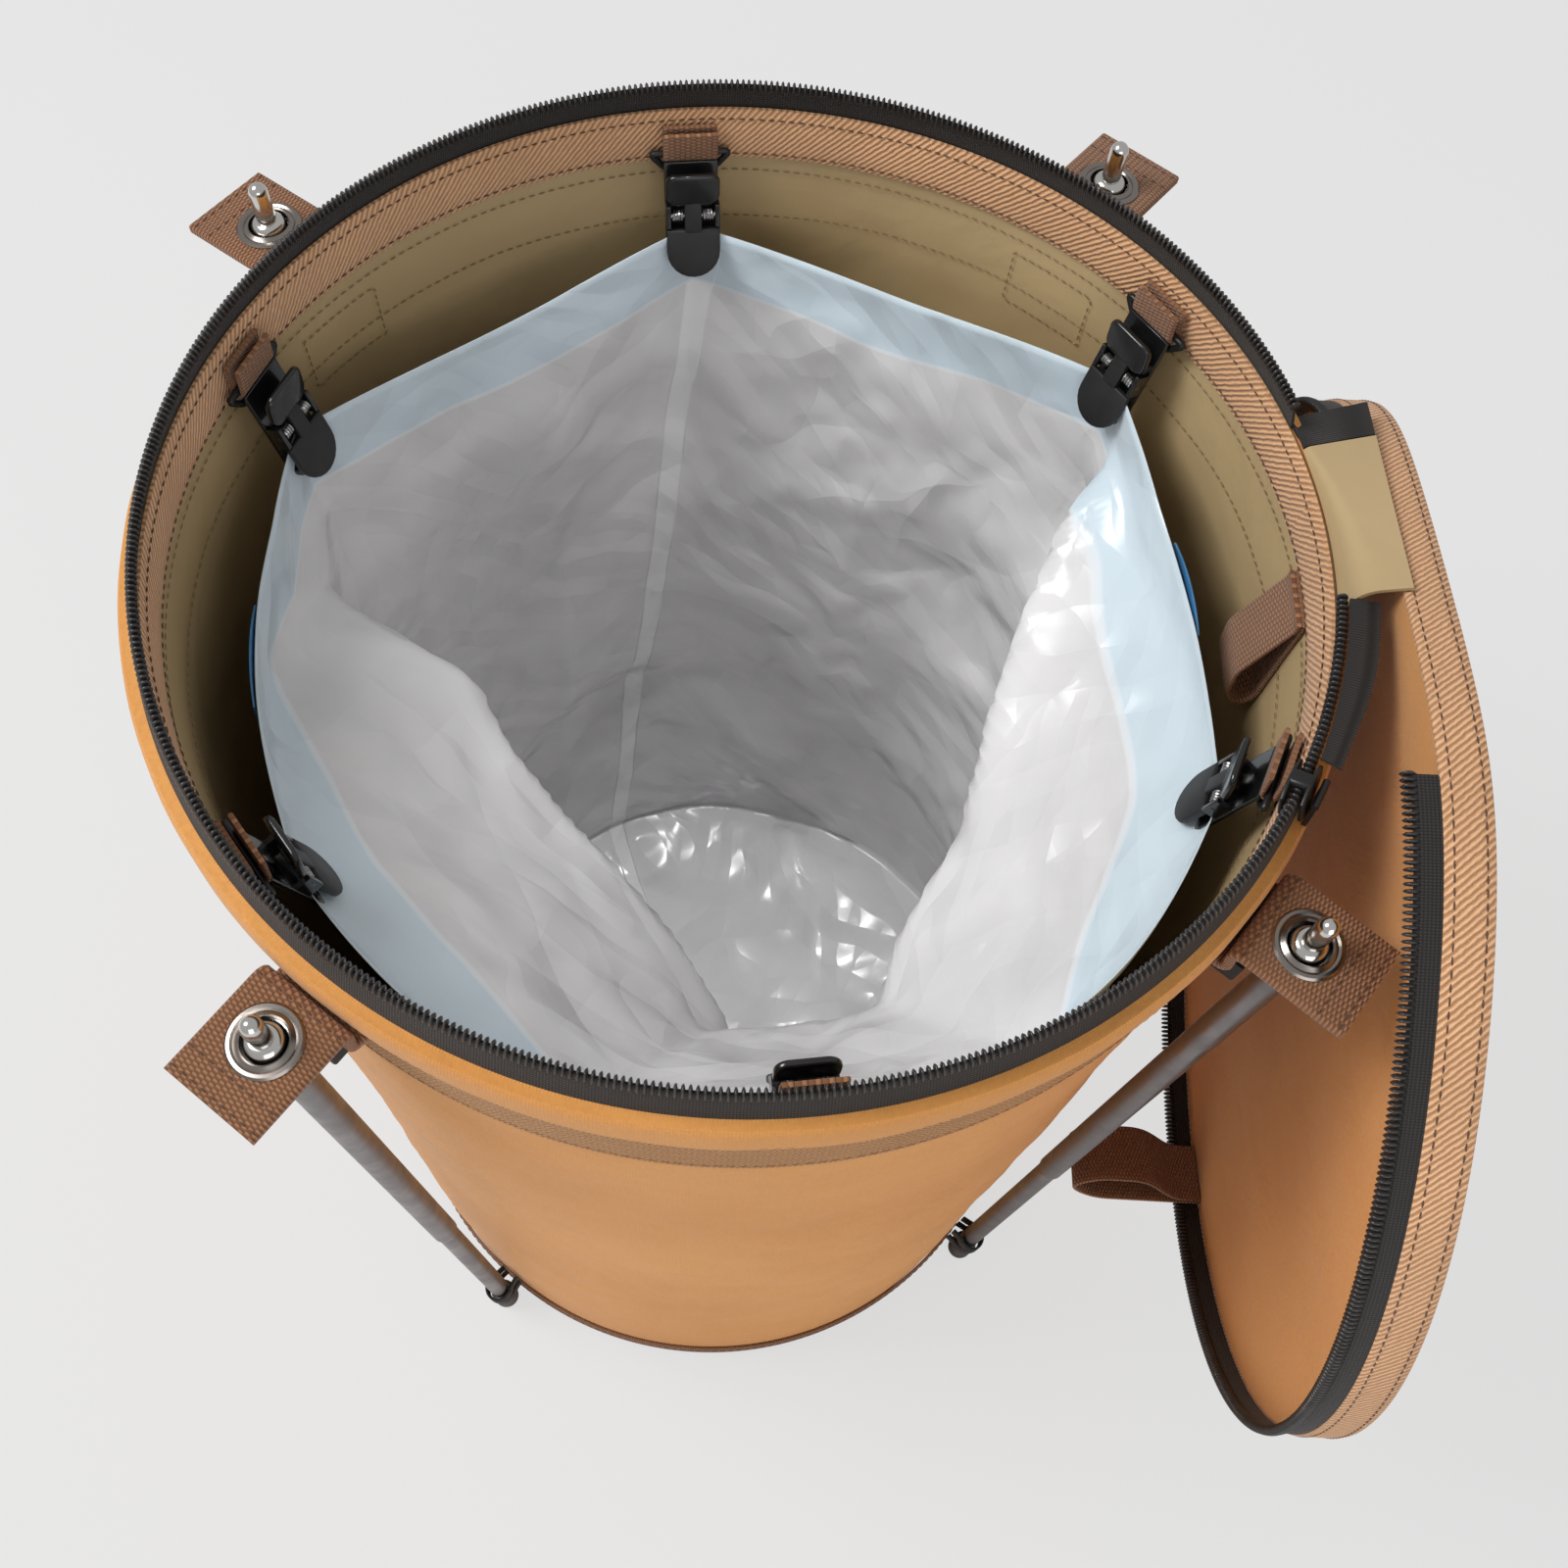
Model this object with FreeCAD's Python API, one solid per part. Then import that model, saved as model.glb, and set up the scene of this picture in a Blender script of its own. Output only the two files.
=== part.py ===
import FreeCAD, Part
import math
import os

# Collapsible camping trash can, in millimetres.
# The origin is the centre of the base, on the ground. +Z is up, and the open lid hangs at the +X side.
# Azimuths are in degrees about +Z, counted from +X towards +Y.

Vec = FreeCAD.Vector
UP = Vec(0, 0, 1)
SIDEWAYS = Vec(0, 1, 0)
ORIGIN = Vec(0, 0, 0)
FULL_TURN = 360.0

# Flat sides of the cloth rings, of small turned pieces and of thin wire
ring_panels = 48
turned_sides = 16
wire_sides = 8

# Body of the can
rim_radius = 165.0
body_height = 450.0
base_radius = 138.0
canvas_thickness = 1.2
lining_thickness = 0.8
ply_gap = 0.25
seam_gap = 0.25

# Zip that runs round the mouth
zip_stand = 13.0
zip_lean = 13.0
zip_tape_thickness = 1.0
zip_coil_height = 4.5
zip_coil_width = 3.4
zip_start_azimuth = 9.0
zip_end_azimuth = -14.0

# Hem with its spring hoop, and the bands sewn below it
hem_height = 16.0
hem_depth = 3.4
hem_skin = 0.8
hoop_height = 6.0
hoop_thickness = 1.0
tab_slot = 3.6
webbing_band_height = 25.0
webbing_band_thickness = 1.4
twill_band_height = 18.0
twill_band_thickness = 1.6

# Base
base_panel_thickness = 1.4
base_board_thickness = 3.0
binding_height = 9.0
binding_thickness = 1.6

# Poles, their tabs and their loops
pole_azimuths = [45.0, 135.0, 225.0, 315.0]
pole_foot_gap = 9.0
pole_head_gap = 22.0
grommet_drop = 22.0
lower_tube_diameter = 8.0
lower_tube_wall = 0.7
upper_tube_diameter = 9.4
slide_clearance = 0.07
upper_tube_bottom = 170.0
tube_overlap = 60.0
foot_cap_diameter = 10.6
foot_cap_length = 15.0
foot_cap_wall_gap = 0.05
foot_cap_floor = 3.0
foot_cap_pad = 3.4
foot_cap_crown = 2.6
tip_collar_diameter = 14.4
tip_collar_thickness = 1.5
tip_pin_diameter = 6.0
tip_pin_height = 18.0
tip_dome_height = 4.0
tip_nose_height = 2.6
tip_nose_diameter = 2.0
tip_clearance = 0.3
tip_stem_length = 14.0
stem_clearance = 0.03
tab_width = 30.0
tab_thickness = 3.0
tab_reach = 20.0
tab_bend = 3.6
grommet_diameter = 20.0
grommet_hole = 12.4
grommet_wall = 0.7
grommet_flange = 1.0
grommet_crown = 1.5
loop_thickness = 1.2
foot_loop_height = 15.0
foot_loop_bottom = 16.0
keeper_height = 9.0
keeper_drop = 22.0
keeper_width = 16.0
keeper_clearance = 0.35

# Liner clips
clip_count = 6
first_clip_azimuth = 30.0
clip_lean = 19.0
clip_inset = 15.0
clip_drop = 42.0
clip_width = 17.6
clip_plate = 1.8
clip_grip_gap = 2.6
tongue_length = 21.5
tongue_thickness = 2.4
lever_length = 12.0
lever_lift = 17.0
lever_thickness = 2.2
lug_thickness = 1.6
lug_reach = 3.6
pin_diameter = 1.8
pin_running_gap = 0.06
neck_width = 5.0
neck_height = 4.0
spring_gap = 0.3
spring_wire = 1.1
ring_wire = 2.2
ring_top_width = 28.4
ring_bottom_width = 17.0
ring_bar_height = 13.0
sling_width = 17.6
sling_thickness = 1.4
sling_wire_drop = 25.0
sling_top_drop = 16.0

# Liner bag
liner_base_gap = 12.0
liner_film = 0.6
hem_film = 1.7
liner_hem_depth = 27.0
liner_edge_below_pivot = 5.2
liner_flat_half = 10.0
liner_sag = 9.0
drawstring_width = 9.0
drawstring_thickness = 0.5
drawstring_room = 0.15
liner_waist_out = 4.0
liner_fold = 8.0
liner_tuck = 5.0
liner_tuck_fold = 5.0
liner_edge_bulge = 2.0
notch_width = 34.0
notch_azimuths = [0.0, 180.0]

# Lid
lid_hinge_azimuth = -10.0
lid_hang_gap = 14.0
lid_hang_rise = 2.0
lid_lean = 3.0
lid_swing = 15.0
lid_cut_depth = 14.0
lid_ring_radius = 167.0
lid_canvas_thickness = 1.6
lid_lining_thickness = 1.0
lid_binding_height = 13.0
lid_binding_thickness = 1.6
lid_zip_height = 10.0
lid_corner = 14.0
cut_margin = 1.0
lid_loop_width = 25.0
lid_loop_thickness = 1.5
lid_loop_reach = 42.0
lid_loop_height = 13.0
lid_loop_azimuth = 182.0
lid_loop_bend = 3.6
lid_loop_round = 10.5
lid_loop_open = 12.6

# Hinge strip between the rim and the hanging lid
hinge_start_azimuth = -14.0
hinge_end_azimuth = 6.0
hinge_thickness = 1.4
hinge_stations = 6
hinge_lap = 2.0
hinge_crest = 1.5
joined_start_azimuth = -32.2
joined_tape_width = 7.5
joined_gap = 0.2
end_stop_start_azimuth = 6.1
end_stop_end_azimuth = 8.5

# Inner hanging loop
inner_loop_azimuth = -7.5
inner_loop_width = 20.0
inner_loop_drop = 46.0
inner_loop_gap = 8.0

# Zip slider and its pull
slider_azimuth = -35.5
slider_length = 16.0
slider_wall = 1.5
slider_clearance = 0.35
pull_length = 10.2
pull_width = 9.0
pull_thickness = 1.4
pull_eye = 2.6
pull_eye_edge = 1.0
pull_axle_diameter = 2.0
pull_axle_gap = 0.1
ear_width = 2.0
ear_side_gap = 0.3

# Values that follow from the sizes above
wall_top_z = body_height - zip_stand
wall_top_radius = rim_radius + zip_stand * math.tan(math.radians(zip_lean))
wall_slope = (wall_top_radius - base_radius) / wall_top_z
hem_bottom_z = wall_top_z - hem_height
band_top_z = hem_bottom_z - tab_slot
band_bottom_z = band_top_z - webbing_band_height
lining_offset = canvas_thickness + ply_gap
inside_offset = lining_offset + lining_thickness
zip_length = zip_stand / math.cos(math.radians(zip_lean))
lining_floor_z = base_panel_thickness + base_board_thickness + 2 * ply_gap
pole_foot_radius = base_radius + pole_foot_gap
grommet_radius_out = rim_radius + pole_head_gap
grommet_z = body_height - grommet_drop
clip_pivot_radius = rim_radius - clip_inset
clip_pivot_z = body_height - clip_drop
sling_wire_z = body_height - sling_wire_drop
sling_top_z = body_height - sling_top_drop
liner_base_radius = base_radius - liner_base_gap
lid_hang_out = rim_radius + lid_hang_gap
lid_hang_z = body_height + lid_hang_rise
lid_cut = lid_ring_radius - lid_cut_depth
clip_azimuths = [first_clip_azimuth + FULL_TURN * n / clip_count for n in range(clip_count)]


def wall_radius(z):
    """Radius of the outer canvas face at height z."""
    return base_radius + wall_slope * z


def sagitta(radius, width):
    """How far a flat piece of this width stands off a round face."""
    return radius - math.sqrt(radius ** 2 - (width / 2) ** 2)


def turned(shape, azimuth):
    """The shape turned about the can's axis."""
    copy = shape.copy()
    copy.rotate(ORIGIN, UP, azimuth)
    return copy


def outline_wire(points):
    corners = [Vec(r, 0, z) for r, z in points]
    return Part.makePolygon(corners + corners[:1])


def round_section(points, start=0.0, sweep=FULL_TURN):
    """A ring, or part of one, from its (radius, z) outline."""
    return turned(Part.Face(outline_wire(points)).revolve(ORIGIN, UP, sweep), start)


def panel_ring(points, start=0.0, sweep=FULL_TURN):
    """A cloth ring in flat panels. A full ring has the middle of a panel at azimuth 0."""
    closed = sweep == FULL_TURN
    count = math.ceil(ring_panels * sweep / FULL_TURN)
    step = sweep / count
    first = start - step / 2 if closed else start
    stretch = 1 / math.cos(math.radians(step / 2))
    outline = [(r * stretch, z) for r, z in points]
    azimuths = [first + n * step for n in range(count if closed else count + 1)]
    return solid_through(stations_at(outline, azimuths), closed)


def turned_piece(points):
    """A small turned piece about the local Z axis, from its (radius, z) outline."""
    azimuths = [FULL_TURN * n / turned_sides for n in range(turned_sides)]
    return solid_through(stations_at(points, azimuths), True)


def stations_at(outline, azimuths):
    return [[turned_point(r, 0, z, azimuth) for r, z in outline] for azimuth in azimuths]


def solid_through(stations, closed):
    """A solid with flat faces from one cross-section to the next."""
    faces = []
    count = len(stations)
    for n in range(count if closed else count - 1):
        here = stations[n]
        ahead = stations[(n + 1) % count]
        for k in range(len(here)):
            m = (k + 1) % len(here)
            corners = [here[k], here[m], ahead[m], ahead[k]]
            corners = [c for i, c in enumerate(corners) if c.distanceToPoint(corners[i - 1]) > 0]
            if len(corners) > 2:
                faces.append(Part.Face(Part.makePolygon(corners + corners[:1])))
    if not closed:
        faces += end_faces(stations)
    return closed_solid(faces)


def end_faces(stations):
    return [Part.Face(Part.makePolygon(end + end[:1])) for end in (stations[0], stations[-1])]


def wall_ring(bottom, top, outer_offset, thickness):
    """A ply that follows the tapered wall. The offset is counted inwards from the canvas face."""
    outer_low = wall_radius(bottom) - outer_offset
    outer_high = wall_radius(top) - outer_offset
    outline = [
        (outer_low, bottom),
        (outer_high, top),
        (outer_high - thickness, top),
        (outer_low - thickness, bottom),
    ]
    return panel_ring(outline)


def arc_points(x, y, radius, start, sweep, sides=turned_sides):
    """Corners of a flat-sided arc in a plane. A full circle would have this many sides."""
    count = math.ceil(sweep * sides / FULL_TURN)
    angles = [math.radians(start + sweep * n / count) for n in range(count + 1)]
    return [(x + radius * math.cos(angle), y + radius * math.sin(angle)) for angle in angles]


def bend_points(here, behind, ahead, bend):
    """(point, side direction) pairs through one corner of a path, bent in short flats."""
    turn = math.acos(max(-1.0, min(1.0, behind.dot(ahead))))
    to_left = 1 if behind.x * ahead.z > behind.z * ahead.x else -1
    start = here - behind * (bend * math.tan(turn / 2))
    centre = start + left_of(behind) * (to_left * bend)
    count = math.ceil(math.degrees(turn) * turned_sides / FULL_TURN)
    pairs = []
    for n in range(count + 1):
        angle = to_left * turn * n / max(count, 1)
        side = left_of(behind) * math.cos(angle) - behind * math.sin(angle)
        pairs.append((centre - side * (to_left * bend), side))
    return pairs


def left_of(run):
    return Vec(-run.z, 0, run.x)


def strap(points, thickness, bend, width):
    """A flat strap of even thickness. Its path is given in (radius, z) and it is centred on azimuth 0."""
    path = [Vec(r, 0, z) for r, z in points]
    runs = [(end - start).normalize() for start, end in zip(path, path[1:])]
    pairs = []
    for n, here in enumerate(path):
        pairs += bend_points(here, runs[max(n - 1, 0)], runs[min(n, len(runs) - 1)], bend)
    left = [point + side * (thickness / 2) for point, side in pairs]
    right = [point - side * (thickness / 2) for point, side in pairs]
    return block(left + right[::-1], width)


def block(corners, width):
    """A block centred on azimuth 0, from its outline at that azimuth."""
    loop = [corner - SIDEWAYS * (width / 2) for corner in corners]
    return Part.Face(Part.makePolygon(loop + loop[:1])).extrude(SIDEWAYS * width)


def flat_piece(outline, low, high):
    """A flat piece between two x values, from its outline in y and z."""
    loop = [Vec(low, y, z) for y, z in outline]
    return Part.Face(Part.makePolygon(loop + loop[:1])).extrude(Vec(high - low, 0, 0))


def slab(x_low, x_high, width, z_low, z_high):
    """A block centred on azimuth 0."""
    return Part.makeBox(x_high - x_low, width, z_high - z_low, Vec(x_low, -width / 2, z_low))


def tube(outer, inner, bottom, top):
    """A tube about the local Z axis, from its diameters."""
    return turned_piece([(inner / 2, bottom), (outer / 2, bottom), (outer / 2, top), (inner / 2, top)])


def post(radius, bottom, top):
    """A solid round bar about the local Z axis."""
    return turned_piece([(0, bottom), (radius, bottom), (radius, top), (0, top)])


def wire(start, end, diameter):
    """A straight wire between two points, with flat sides."""
    run = (end - start).normalize()
    across = run.cross(UP if abs(run.z) < abs(run.y) + abs(run.x) else SIDEWAYS).normalize()
    beside = run.cross(across)
    corners = wire_corners(start, across, beside, diameter)
    return Part.Face(Part.makePolygon(corners + corners[:1])).extrude(end - start)


def wire_corners(centre, across, beside, diameter):
    """Corners of a wire's flat-sided section, in the plane of two directions."""
    corners = []
    for n in range(wire_sides):
        angle = math.radians(FULL_TURN * (n + 0.5) / wire_sides)
        corners.append(centre + (across * math.cos(angle) + beside * math.sin(angle)) * (diameter / 2))
    return corners


# Body

def canvas_wall():
    return wall_ring(base_panel_thickness + ply_gap, wall_top_z, 0, canvas_thickness)


def lining_wall():
    """Coated lining with its floor, one sewn bag."""
    floor = lining_floor_z
    low = wall_radius(floor) - lining_offset
    high = wall_radius(wall_top_z) - lining_offset
    outline = [
        (0, floor),
        (low, floor),
        (high, wall_top_z),
        (high - lining_thickness, wall_top_z),
        (low - lining_thickness, floor + lining_thickness),
        (0, floor + lining_thickness),
    ]
    return panel_ring(outline)


def base_panel():
    return base_disc(wall_radius(0), 0, base_panel_thickness)


def base_board():
    bottom = base_panel_thickness + ply_gap
    return base_disc(wall_radius(bottom) - canvas_thickness - ply_gap, bottom, bottom + base_board_thickness)


def base_disc(radius, bottom, top):
    return panel_ring([(0, bottom), (radius, bottom), (radius, top), (0, top)])


def base_binding():
    """Webbing folded over the seam at the foot of the wall."""
    inner_low = wall_radius(0) + seam_gap
    inner_high = wall_radius(binding_height) + seam_gap
    outline = [
        (inner_low, 0),
        (inner_low + binding_thickness, 0),
        (inner_high + binding_thickness, binding_height),
        (inner_high, binding_height),
    ]
    return panel_ring(outline)


def webbing_band():
    outer = -webbing_band_thickness - seam_gap
    return wall_ring(band_bottom_z, band_top_z, outer, webbing_band_thickness)


def hem_band():
    """Canvas sleeve round the spring hoop."""
    bottom = hem_bottom_z
    top = wall_top_z
    sleeve = wall_ring(bottom, top, -hem_depth - seam_gap, hem_depth)
    room = hem_depth - 2 * hem_skin
    cavity = wall_ring(bottom + hem_skin, top - hem_skin, hem_skin - hem_depth - seam_gap, room)
    return sleeve.cut(cavity)


def rim_hoop():
    """Flat spring steel hoop that lies on the floor of the hem's sleeve."""
    bottom = hem_bottom_z + hem_skin + ply_gap
    slack = hem_depth - 2 * hem_skin - hoop_thickness
    outer = -hem_depth - seam_gap + hem_skin + slack / 2
    return wall_ring(bottom, bottom + hoop_height, outer, hoop_thickness)


def twill_band():
    bottom = wall_top_z - twill_band_height
    return wall_ring(bottom, wall_top_z, inside_offset + seam_gap, twill_band_thickness)


def leaning_outline(low, high, inner, outer):
    """Corners of a strip on the zip's leaning line, low and high along it, inner and outer across it."""
    lean = math.radians(zip_lean)
    corners = []
    for along, across in ((low, inner), (low, outer), (high, outer), (high, inner)):
        radius = wall_top_radius - zip_centre_offset() - along * math.sin(lean) + across * math.cos(lean)
        corners.append((radius, wall_top_z + along * math.cos(lean) + across * math.sin(lean)))
    return corners


def zip_centre_offset():
    """How far inside the canvas face the zip's tape is sewn in."""
    return inside_offset / 2


def body_zip_tape():
    half = zip_tape_thickness / 2
    outline = leaning_outline(2 * seam_gap, zip_length - zip_coil_height - ply_gap, -half, half)
    return round_section(outline, zip_start_azimuth, FULL_TURN - zip_start_azimuth + zip_end_azimuth)


def coil_outline(grow=0.0):
    """Six-sided section of the zip's coil."""
    low = zip_length - zip_coil_height - grow
    high = zip_length + grow
    half = zip_coil_width / 2 + grow
    chamfer = zip_coil_width / 4
    narrow = leaning_outline(low, high, -half + chamfer, half - chamfer)
    wide = leaning_outline((low + high) / 2, high, -half, half)
    return [narrow[0], narrow[1], wide[1], narrow[2], narrow[3], wide[0]]


def body_zip_coil():
    return round_section(coil_outline(), zip_start_azimuth, FULL_TURN - zip_start_azimuth + zip_end_azimuth)


# Poles

pole_rise = grommet_z
pole_run = grommet_radius_out - pole_foot_radius
pole_tilt = math.degrees(math.atan2(pole_run, pole_rise))
pole_length = math.hypot(pole_rise, pole_run)
grommet_low = tab_thickness / 2 + grommet_flange
collar_top = pole_length - grommet_low - tip_clearance
collar_bottom = collar_top - tip_collar_thickness


def on_pole(shape, azimuth):
    """Moves a shape from the pole's own frame, foot at the origin and axis along Z, to its place."""
    copy = shape.copy()
    copy.rotate(ORIGIN, SIDEWAYS, pole_tilt)
    copy.translate(Vec(pole_foot_radius, 0, 0))
    return turned(copy, azimuth)


def lower_tube():
    inner = lower_tube_diameter - 2 * lower_tube_wall
    return tube(lower_tube_diameter, inner, foot_cap_floor, upper_tube_bottom + tube_overlap)


def upper_tube():
    inner = lower_tube_diameter + 2 * slide_clearance
    return tube(upper_tube_diameter, inner, upper_tube_bottom, collar_bottom)


def foot_cap():
    """End cap on the lower tube, chamfered at the ground."""
    radius = foot_cap_diameter / 2
    bore = lower_tube_diameter / 2 + foot_cap_wall_gap
    low_edge = foot_cap_pad * math.sin(math.radians(pole_tilt))
    floor = foot_cap_floor - foot_cap_wall_gap
    outline = [
        (0, low_edge),
        (foot_cap_pad, low_edge),
        (radius, foot_cap_crown),
        (radius, foot_cap_length),
        (bore, foot_cap_length),
        (bore, floor),
        (0, floor),
    ]
    return turned_piece(outline)


def pole_tip():
    """Collar under the grommet, dome in its hole and pin above it."""
    hole = grommet_hole / 2 - tip_clearance
    pin = tip_pin_diameter / 2
    stem = lower_tube_diameter / 2 + slide_clearance - stem_clearance
    dome_foot = collar_top + tip_clearance
    dome_top = dome_foot + grommet_low + tip_dome_height
    top = pole_length + tip_pin_height
    outline = [
        (0, collar_bottom - tip_stem_length),
        (stem, collar_bottom - tip_stem_length),
        (stem, collar_bottom),
        (tip_collar_diameter / 2, collar_bottom),
        (tip_collar_diameter / 2, collar_top),
        (hole, collar_top),
        (hole, dome_foot),
        (pin, dome_top),
        (pin, top - tip_nose_height),
        (tip_nose_diameter / 2, top),
        (0, top),
    ]
    return turned_piece(outline)


def grommet():
    """Pressed pair of washers through the tab."""
    hole = grommet_hole / 2
    barrel = hole + grommet_wall
    edge = grommet_diameter / 2
    face = pole_length + tab_thickness / 2
    back = pole_length - tab_thickness / 2
    outline = [
        (hole, back - grommet_flange),
        (edge, back - grommet_flange),
        (edge, back),
        (barrel, back),
        (barrel, face),
        (edge, face),
        (barrel, face + grommet_crown),
        (hole, face + grommet_crown),
    ]
    return turned_piece(outline)


def pole_tab():
    """Webbing tab from the crease under the hem out to the pole, across the pole's axis."""
    tilt = math.radians(pole_tilt)
    root_z = hem_bottom_z - tab_slot / 2
    root = (wall_radius(root_z) + seam_gap, root_z)
    knee = (root[0] + hem_depth + tab_thickness, root_z)
    lift = tab_bend + tab_thickness + tip_collar_diameter / 2
    shoulder = (
        grommet_radius_out - lift * math.cos(tilt),
        grommet_z + lift * math.sin(tilt),
    )
    end = (
        grommet_radius_out + tab_reach * math.cos(tilt),
        grommet_z - tab_reach * math.sin(tilt),
    )
    return strap([root, knee, shoulder, end], tab_thickness, tab_bend, tab_width)


def tab_hole():
    radius = grommet_hole / 2 + grommet_wall + ply_gap / 2
    depth = 3 * tab_thickness
    return post(radius, pole_length - depth / 2, pole_length + depth / 2)


def foot_loop():
    """Elastic loop round the pole's foot, sewn to the wall."""
    inner = lower_tube_diameter / 2 + tip_clearance
    if foot_loop_bottom < foot_cap_length:
        inner = foot_cap_diameter / 2 + tip_clearance
    outer = inner + loop_thickness
    top = foot_loop_bottom + foot_loop_height
    reach = 3 * outer
    body = post(outer, foot_loop_bottom, top).fuse(slab(-reach, 0, 2 * outer, foot_loop_bottom, top))
    hollow = post(inner, foot_loop_bottom, top).fuse(slab(-reach, 0, 2 * inner, foot_loop_bottom, top))
    band = on_pole(body.cut(hollow), 0)
    inside = Part.makeCone(
        wall_radius(0) + seam_gap, wall_radius(body_height) + seam_gap, body_height
    )
    return band.cut(inside)


def pole_keeper():
    """Gusset between the wall and the pole, hollowed for the collar to slide past."""
    top = pole_length - keeper_drop + keeper_height / 2
    bottom = top - keeper_height
    room = tip_collar_diameter / 2 + keeper_clearance
    reach = grommet_radius_out - wall_radius(0)
    body = slab(-reach, 0, keeper_width, bottom, top)
    body = body.cut(post(room, bottom - keeper_height, top + keeper_height))
    gusset = on_pole(body, 0)
    skin = webbing_band_thickness + seam_gap
    inside = Part.makeCone(
        wall_radius(0) + skin + seam_gap, wall_radius(body_height) + skin + seam_gap, body_height
    )
    return gusset.cut(inside)


# Liner clips

ring_eye = ring_wire / 2 + clip_plate
ring_bar_x = clip_grip_gap / 2 + clip_plate + ring_wire / 2 + tip_clearance


def on_clip(shape, azimuth):
    """Moves a shape from the clip's own frame, pivot at the origin and wall towards +X, to its place."""
    copy = shape.copy()
    copy.rotate(ORIGIN, SIDEWAYS, clip_lean)
    copy.translate(Vec(clip_pivot_radius, 0, clip_pivot_z))
    return turned(copy, azimuth)


def clip_frame():
    """Back half of the clip, with the two lugs that hold the pin and the bar eye for the ring."""
    inner_face = clip_grip_gap / 2
    outer_face = inner_face + clip_plate
    body = flat_piece(tongue_outline(ring_bar_height - ring_wire), inner_face, outer_face)
    eye_width = ring_bottom_width - 3 * ring_wire
    knuckle_start = Vec(ring_bar_x, -eye_width / 2, ring_bar_height)
    body = body.fuse(wire(knuckle_start, knuckle_start + SIDEWAYS * eye_width, 2 * ring_eye))
    for side in (-1, 1):
        low = side * (clip_width - lug_thickness) / 2 - lug_thickness / 2
        corner = Vec(-lug_reach, low, -neck_height)
        body = body.fuse(Part.makeBox(lug_reach + outer_face, lug_thickness, 2 * neck_height, corner))
    bore_start = Vec(ring_bar_x, -clip_width / 2, ring_bar_height)
    bore = wire(bore_start, bore_start + SIDEWAYS * clip_width, bore_across(ring_wire))
    return body.cut(bore).cut(clip_pin()).removeSplitter()


def tongue_outline(shoulder):
    """(y, z) outline of a tongue, from its shoulder down to its round nose."""
    half = clip_width / 2
    return [(half, shoulder), (-half, shoulder)] + arc_points(0, half - tongue_length, half, 180, 180)


def lever_outline():
    """(y, z) outline of the lever, rounded at its free end."""
    half = clip_width / 2
    corner = clip_width / 5
    middle = half - corner
    top = lever_length - corner
    ends = arc_points(middle, top, corner, 0, 90) + arc_points(-middle, top, corner, 90, 90)
    return [(-half, 0), (half, 0)] + ends


def bore_across(wire_diameter):
    """Corner to corner size of a flat-sided bore in which a wire of this diameter turns."""
    return (wire_diameter + 2 * pin_running_gap) / math.cos(math.pi / wire_sides)


def pin_offset():
    """How far in front of the grip plane the clip's pin lies."""
    return lug_reach / 2


def clip_pin():
    start = Vec(-pin_offset(), -clip_width / 2, 0)
    return wire(start, start + SIDEWAYS * clip_width, pin_diameter)


def clip_springs():
    """The two small coils on the pin, one on each side of the neck."""
    axis = Vec(-pin_offset(), 0, 0)
    start = neck_width / 2 + spring_gap
    end = clip_width / 2 - lug_thickness - spring_gap
    springs = []
    for side in (-1, 1):
        ends = (axis + SIDEWAYS * side * start, axis + SIDEWAYS * side * end)
        coil = wire(ends[0], ends[1], pin_diameter + 2 * spring_wire)
        springs.append(coil.cut(wire(ends[0], ends[1], bore_across(pin_diameter))))
    return Part.makeCompound(springs)


def clip_jaw():
    """Front half of the clip: rounded tongue, narrow neck round the pin and raised lever."""
    back = -clip_grip_gap / 2
    front = back - tongue_thickness
    shoulder = -neck_height - spring_gap
    tongue = flat_piece(tongue_outline(shoulder), front, back)
    neck_start = Vec(-pin_offset(), -neck_width / 2, 0)
    neck = wire(neck_start, neck_start + SIDEWAYS * neck_width, pin_diameter + 2 * spring_wire)
    spine = slab(front, back, neck_width, shoulder, neck_height + lever_thickness)
    lever = flat_piece(lever_outline(), back - lever_thickness, back)
    lever_foot = neck_height + spring_gap + lever_thickness * math.sin(math.radians(lever_lift))
    lever.translate(Vec(0, 0, lever_foot))
    lever.rotate(Vec(back, 0, lever_foot), SIDEWAYS, -lever_lift)
    body = tongue.fuse([neck, spine, lever])
    bore = wire(neck_start, neck_start + SIDEWAYS * neck_width, bore_across(pin_diameter))
    return body.cut(bore).removeSplitter()


def in_clip_plane(x, z):
    """(radius, z) in the can's frame of a point in the clip's own frame."""
    lean = math.radians(clip_lean)
    radius = clip_pivot_radius + x * math.cos(lean) + z * math.sin(lean)
    return radius, clip_pivot_z - x * math.sin(lean) + z * math.cos(lean)


def sling_radius():
    """Radius of the webbing sling that carries a clip's ring."""
    twill_foot = wall_radius(wall_top_z - twill_band_height)
    surface = twill_foot - inside_offset - seam_gap - twill_band_thickness
    return surface - sagitta(surface, sling_width) - seam_gap - sling_half()


def sling_half():
    return ring_wire / 2 + ply_gap + sling_thickness


def clip_sling():
    """Webbing folded round the ring and sewn to the twill band."""
    half = sling_half()
    seam_z = (sling_wire_z + sling_top_z) / 2
    return sling_block(half, sling_top_z).cut(sling_block(half - sling_thickness, seam_z))


def sling_block(half, top):
    """Block with a round foot under the ring's wire."""
    radius = sling_radius()
    outline = [(radius + half, top), (radius - half, top)] + arc_points(radius, sling_wire_z, half, 180, 180)
    return block([Vec(x, 0, z) for x, z in outline], sling_width)


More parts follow.
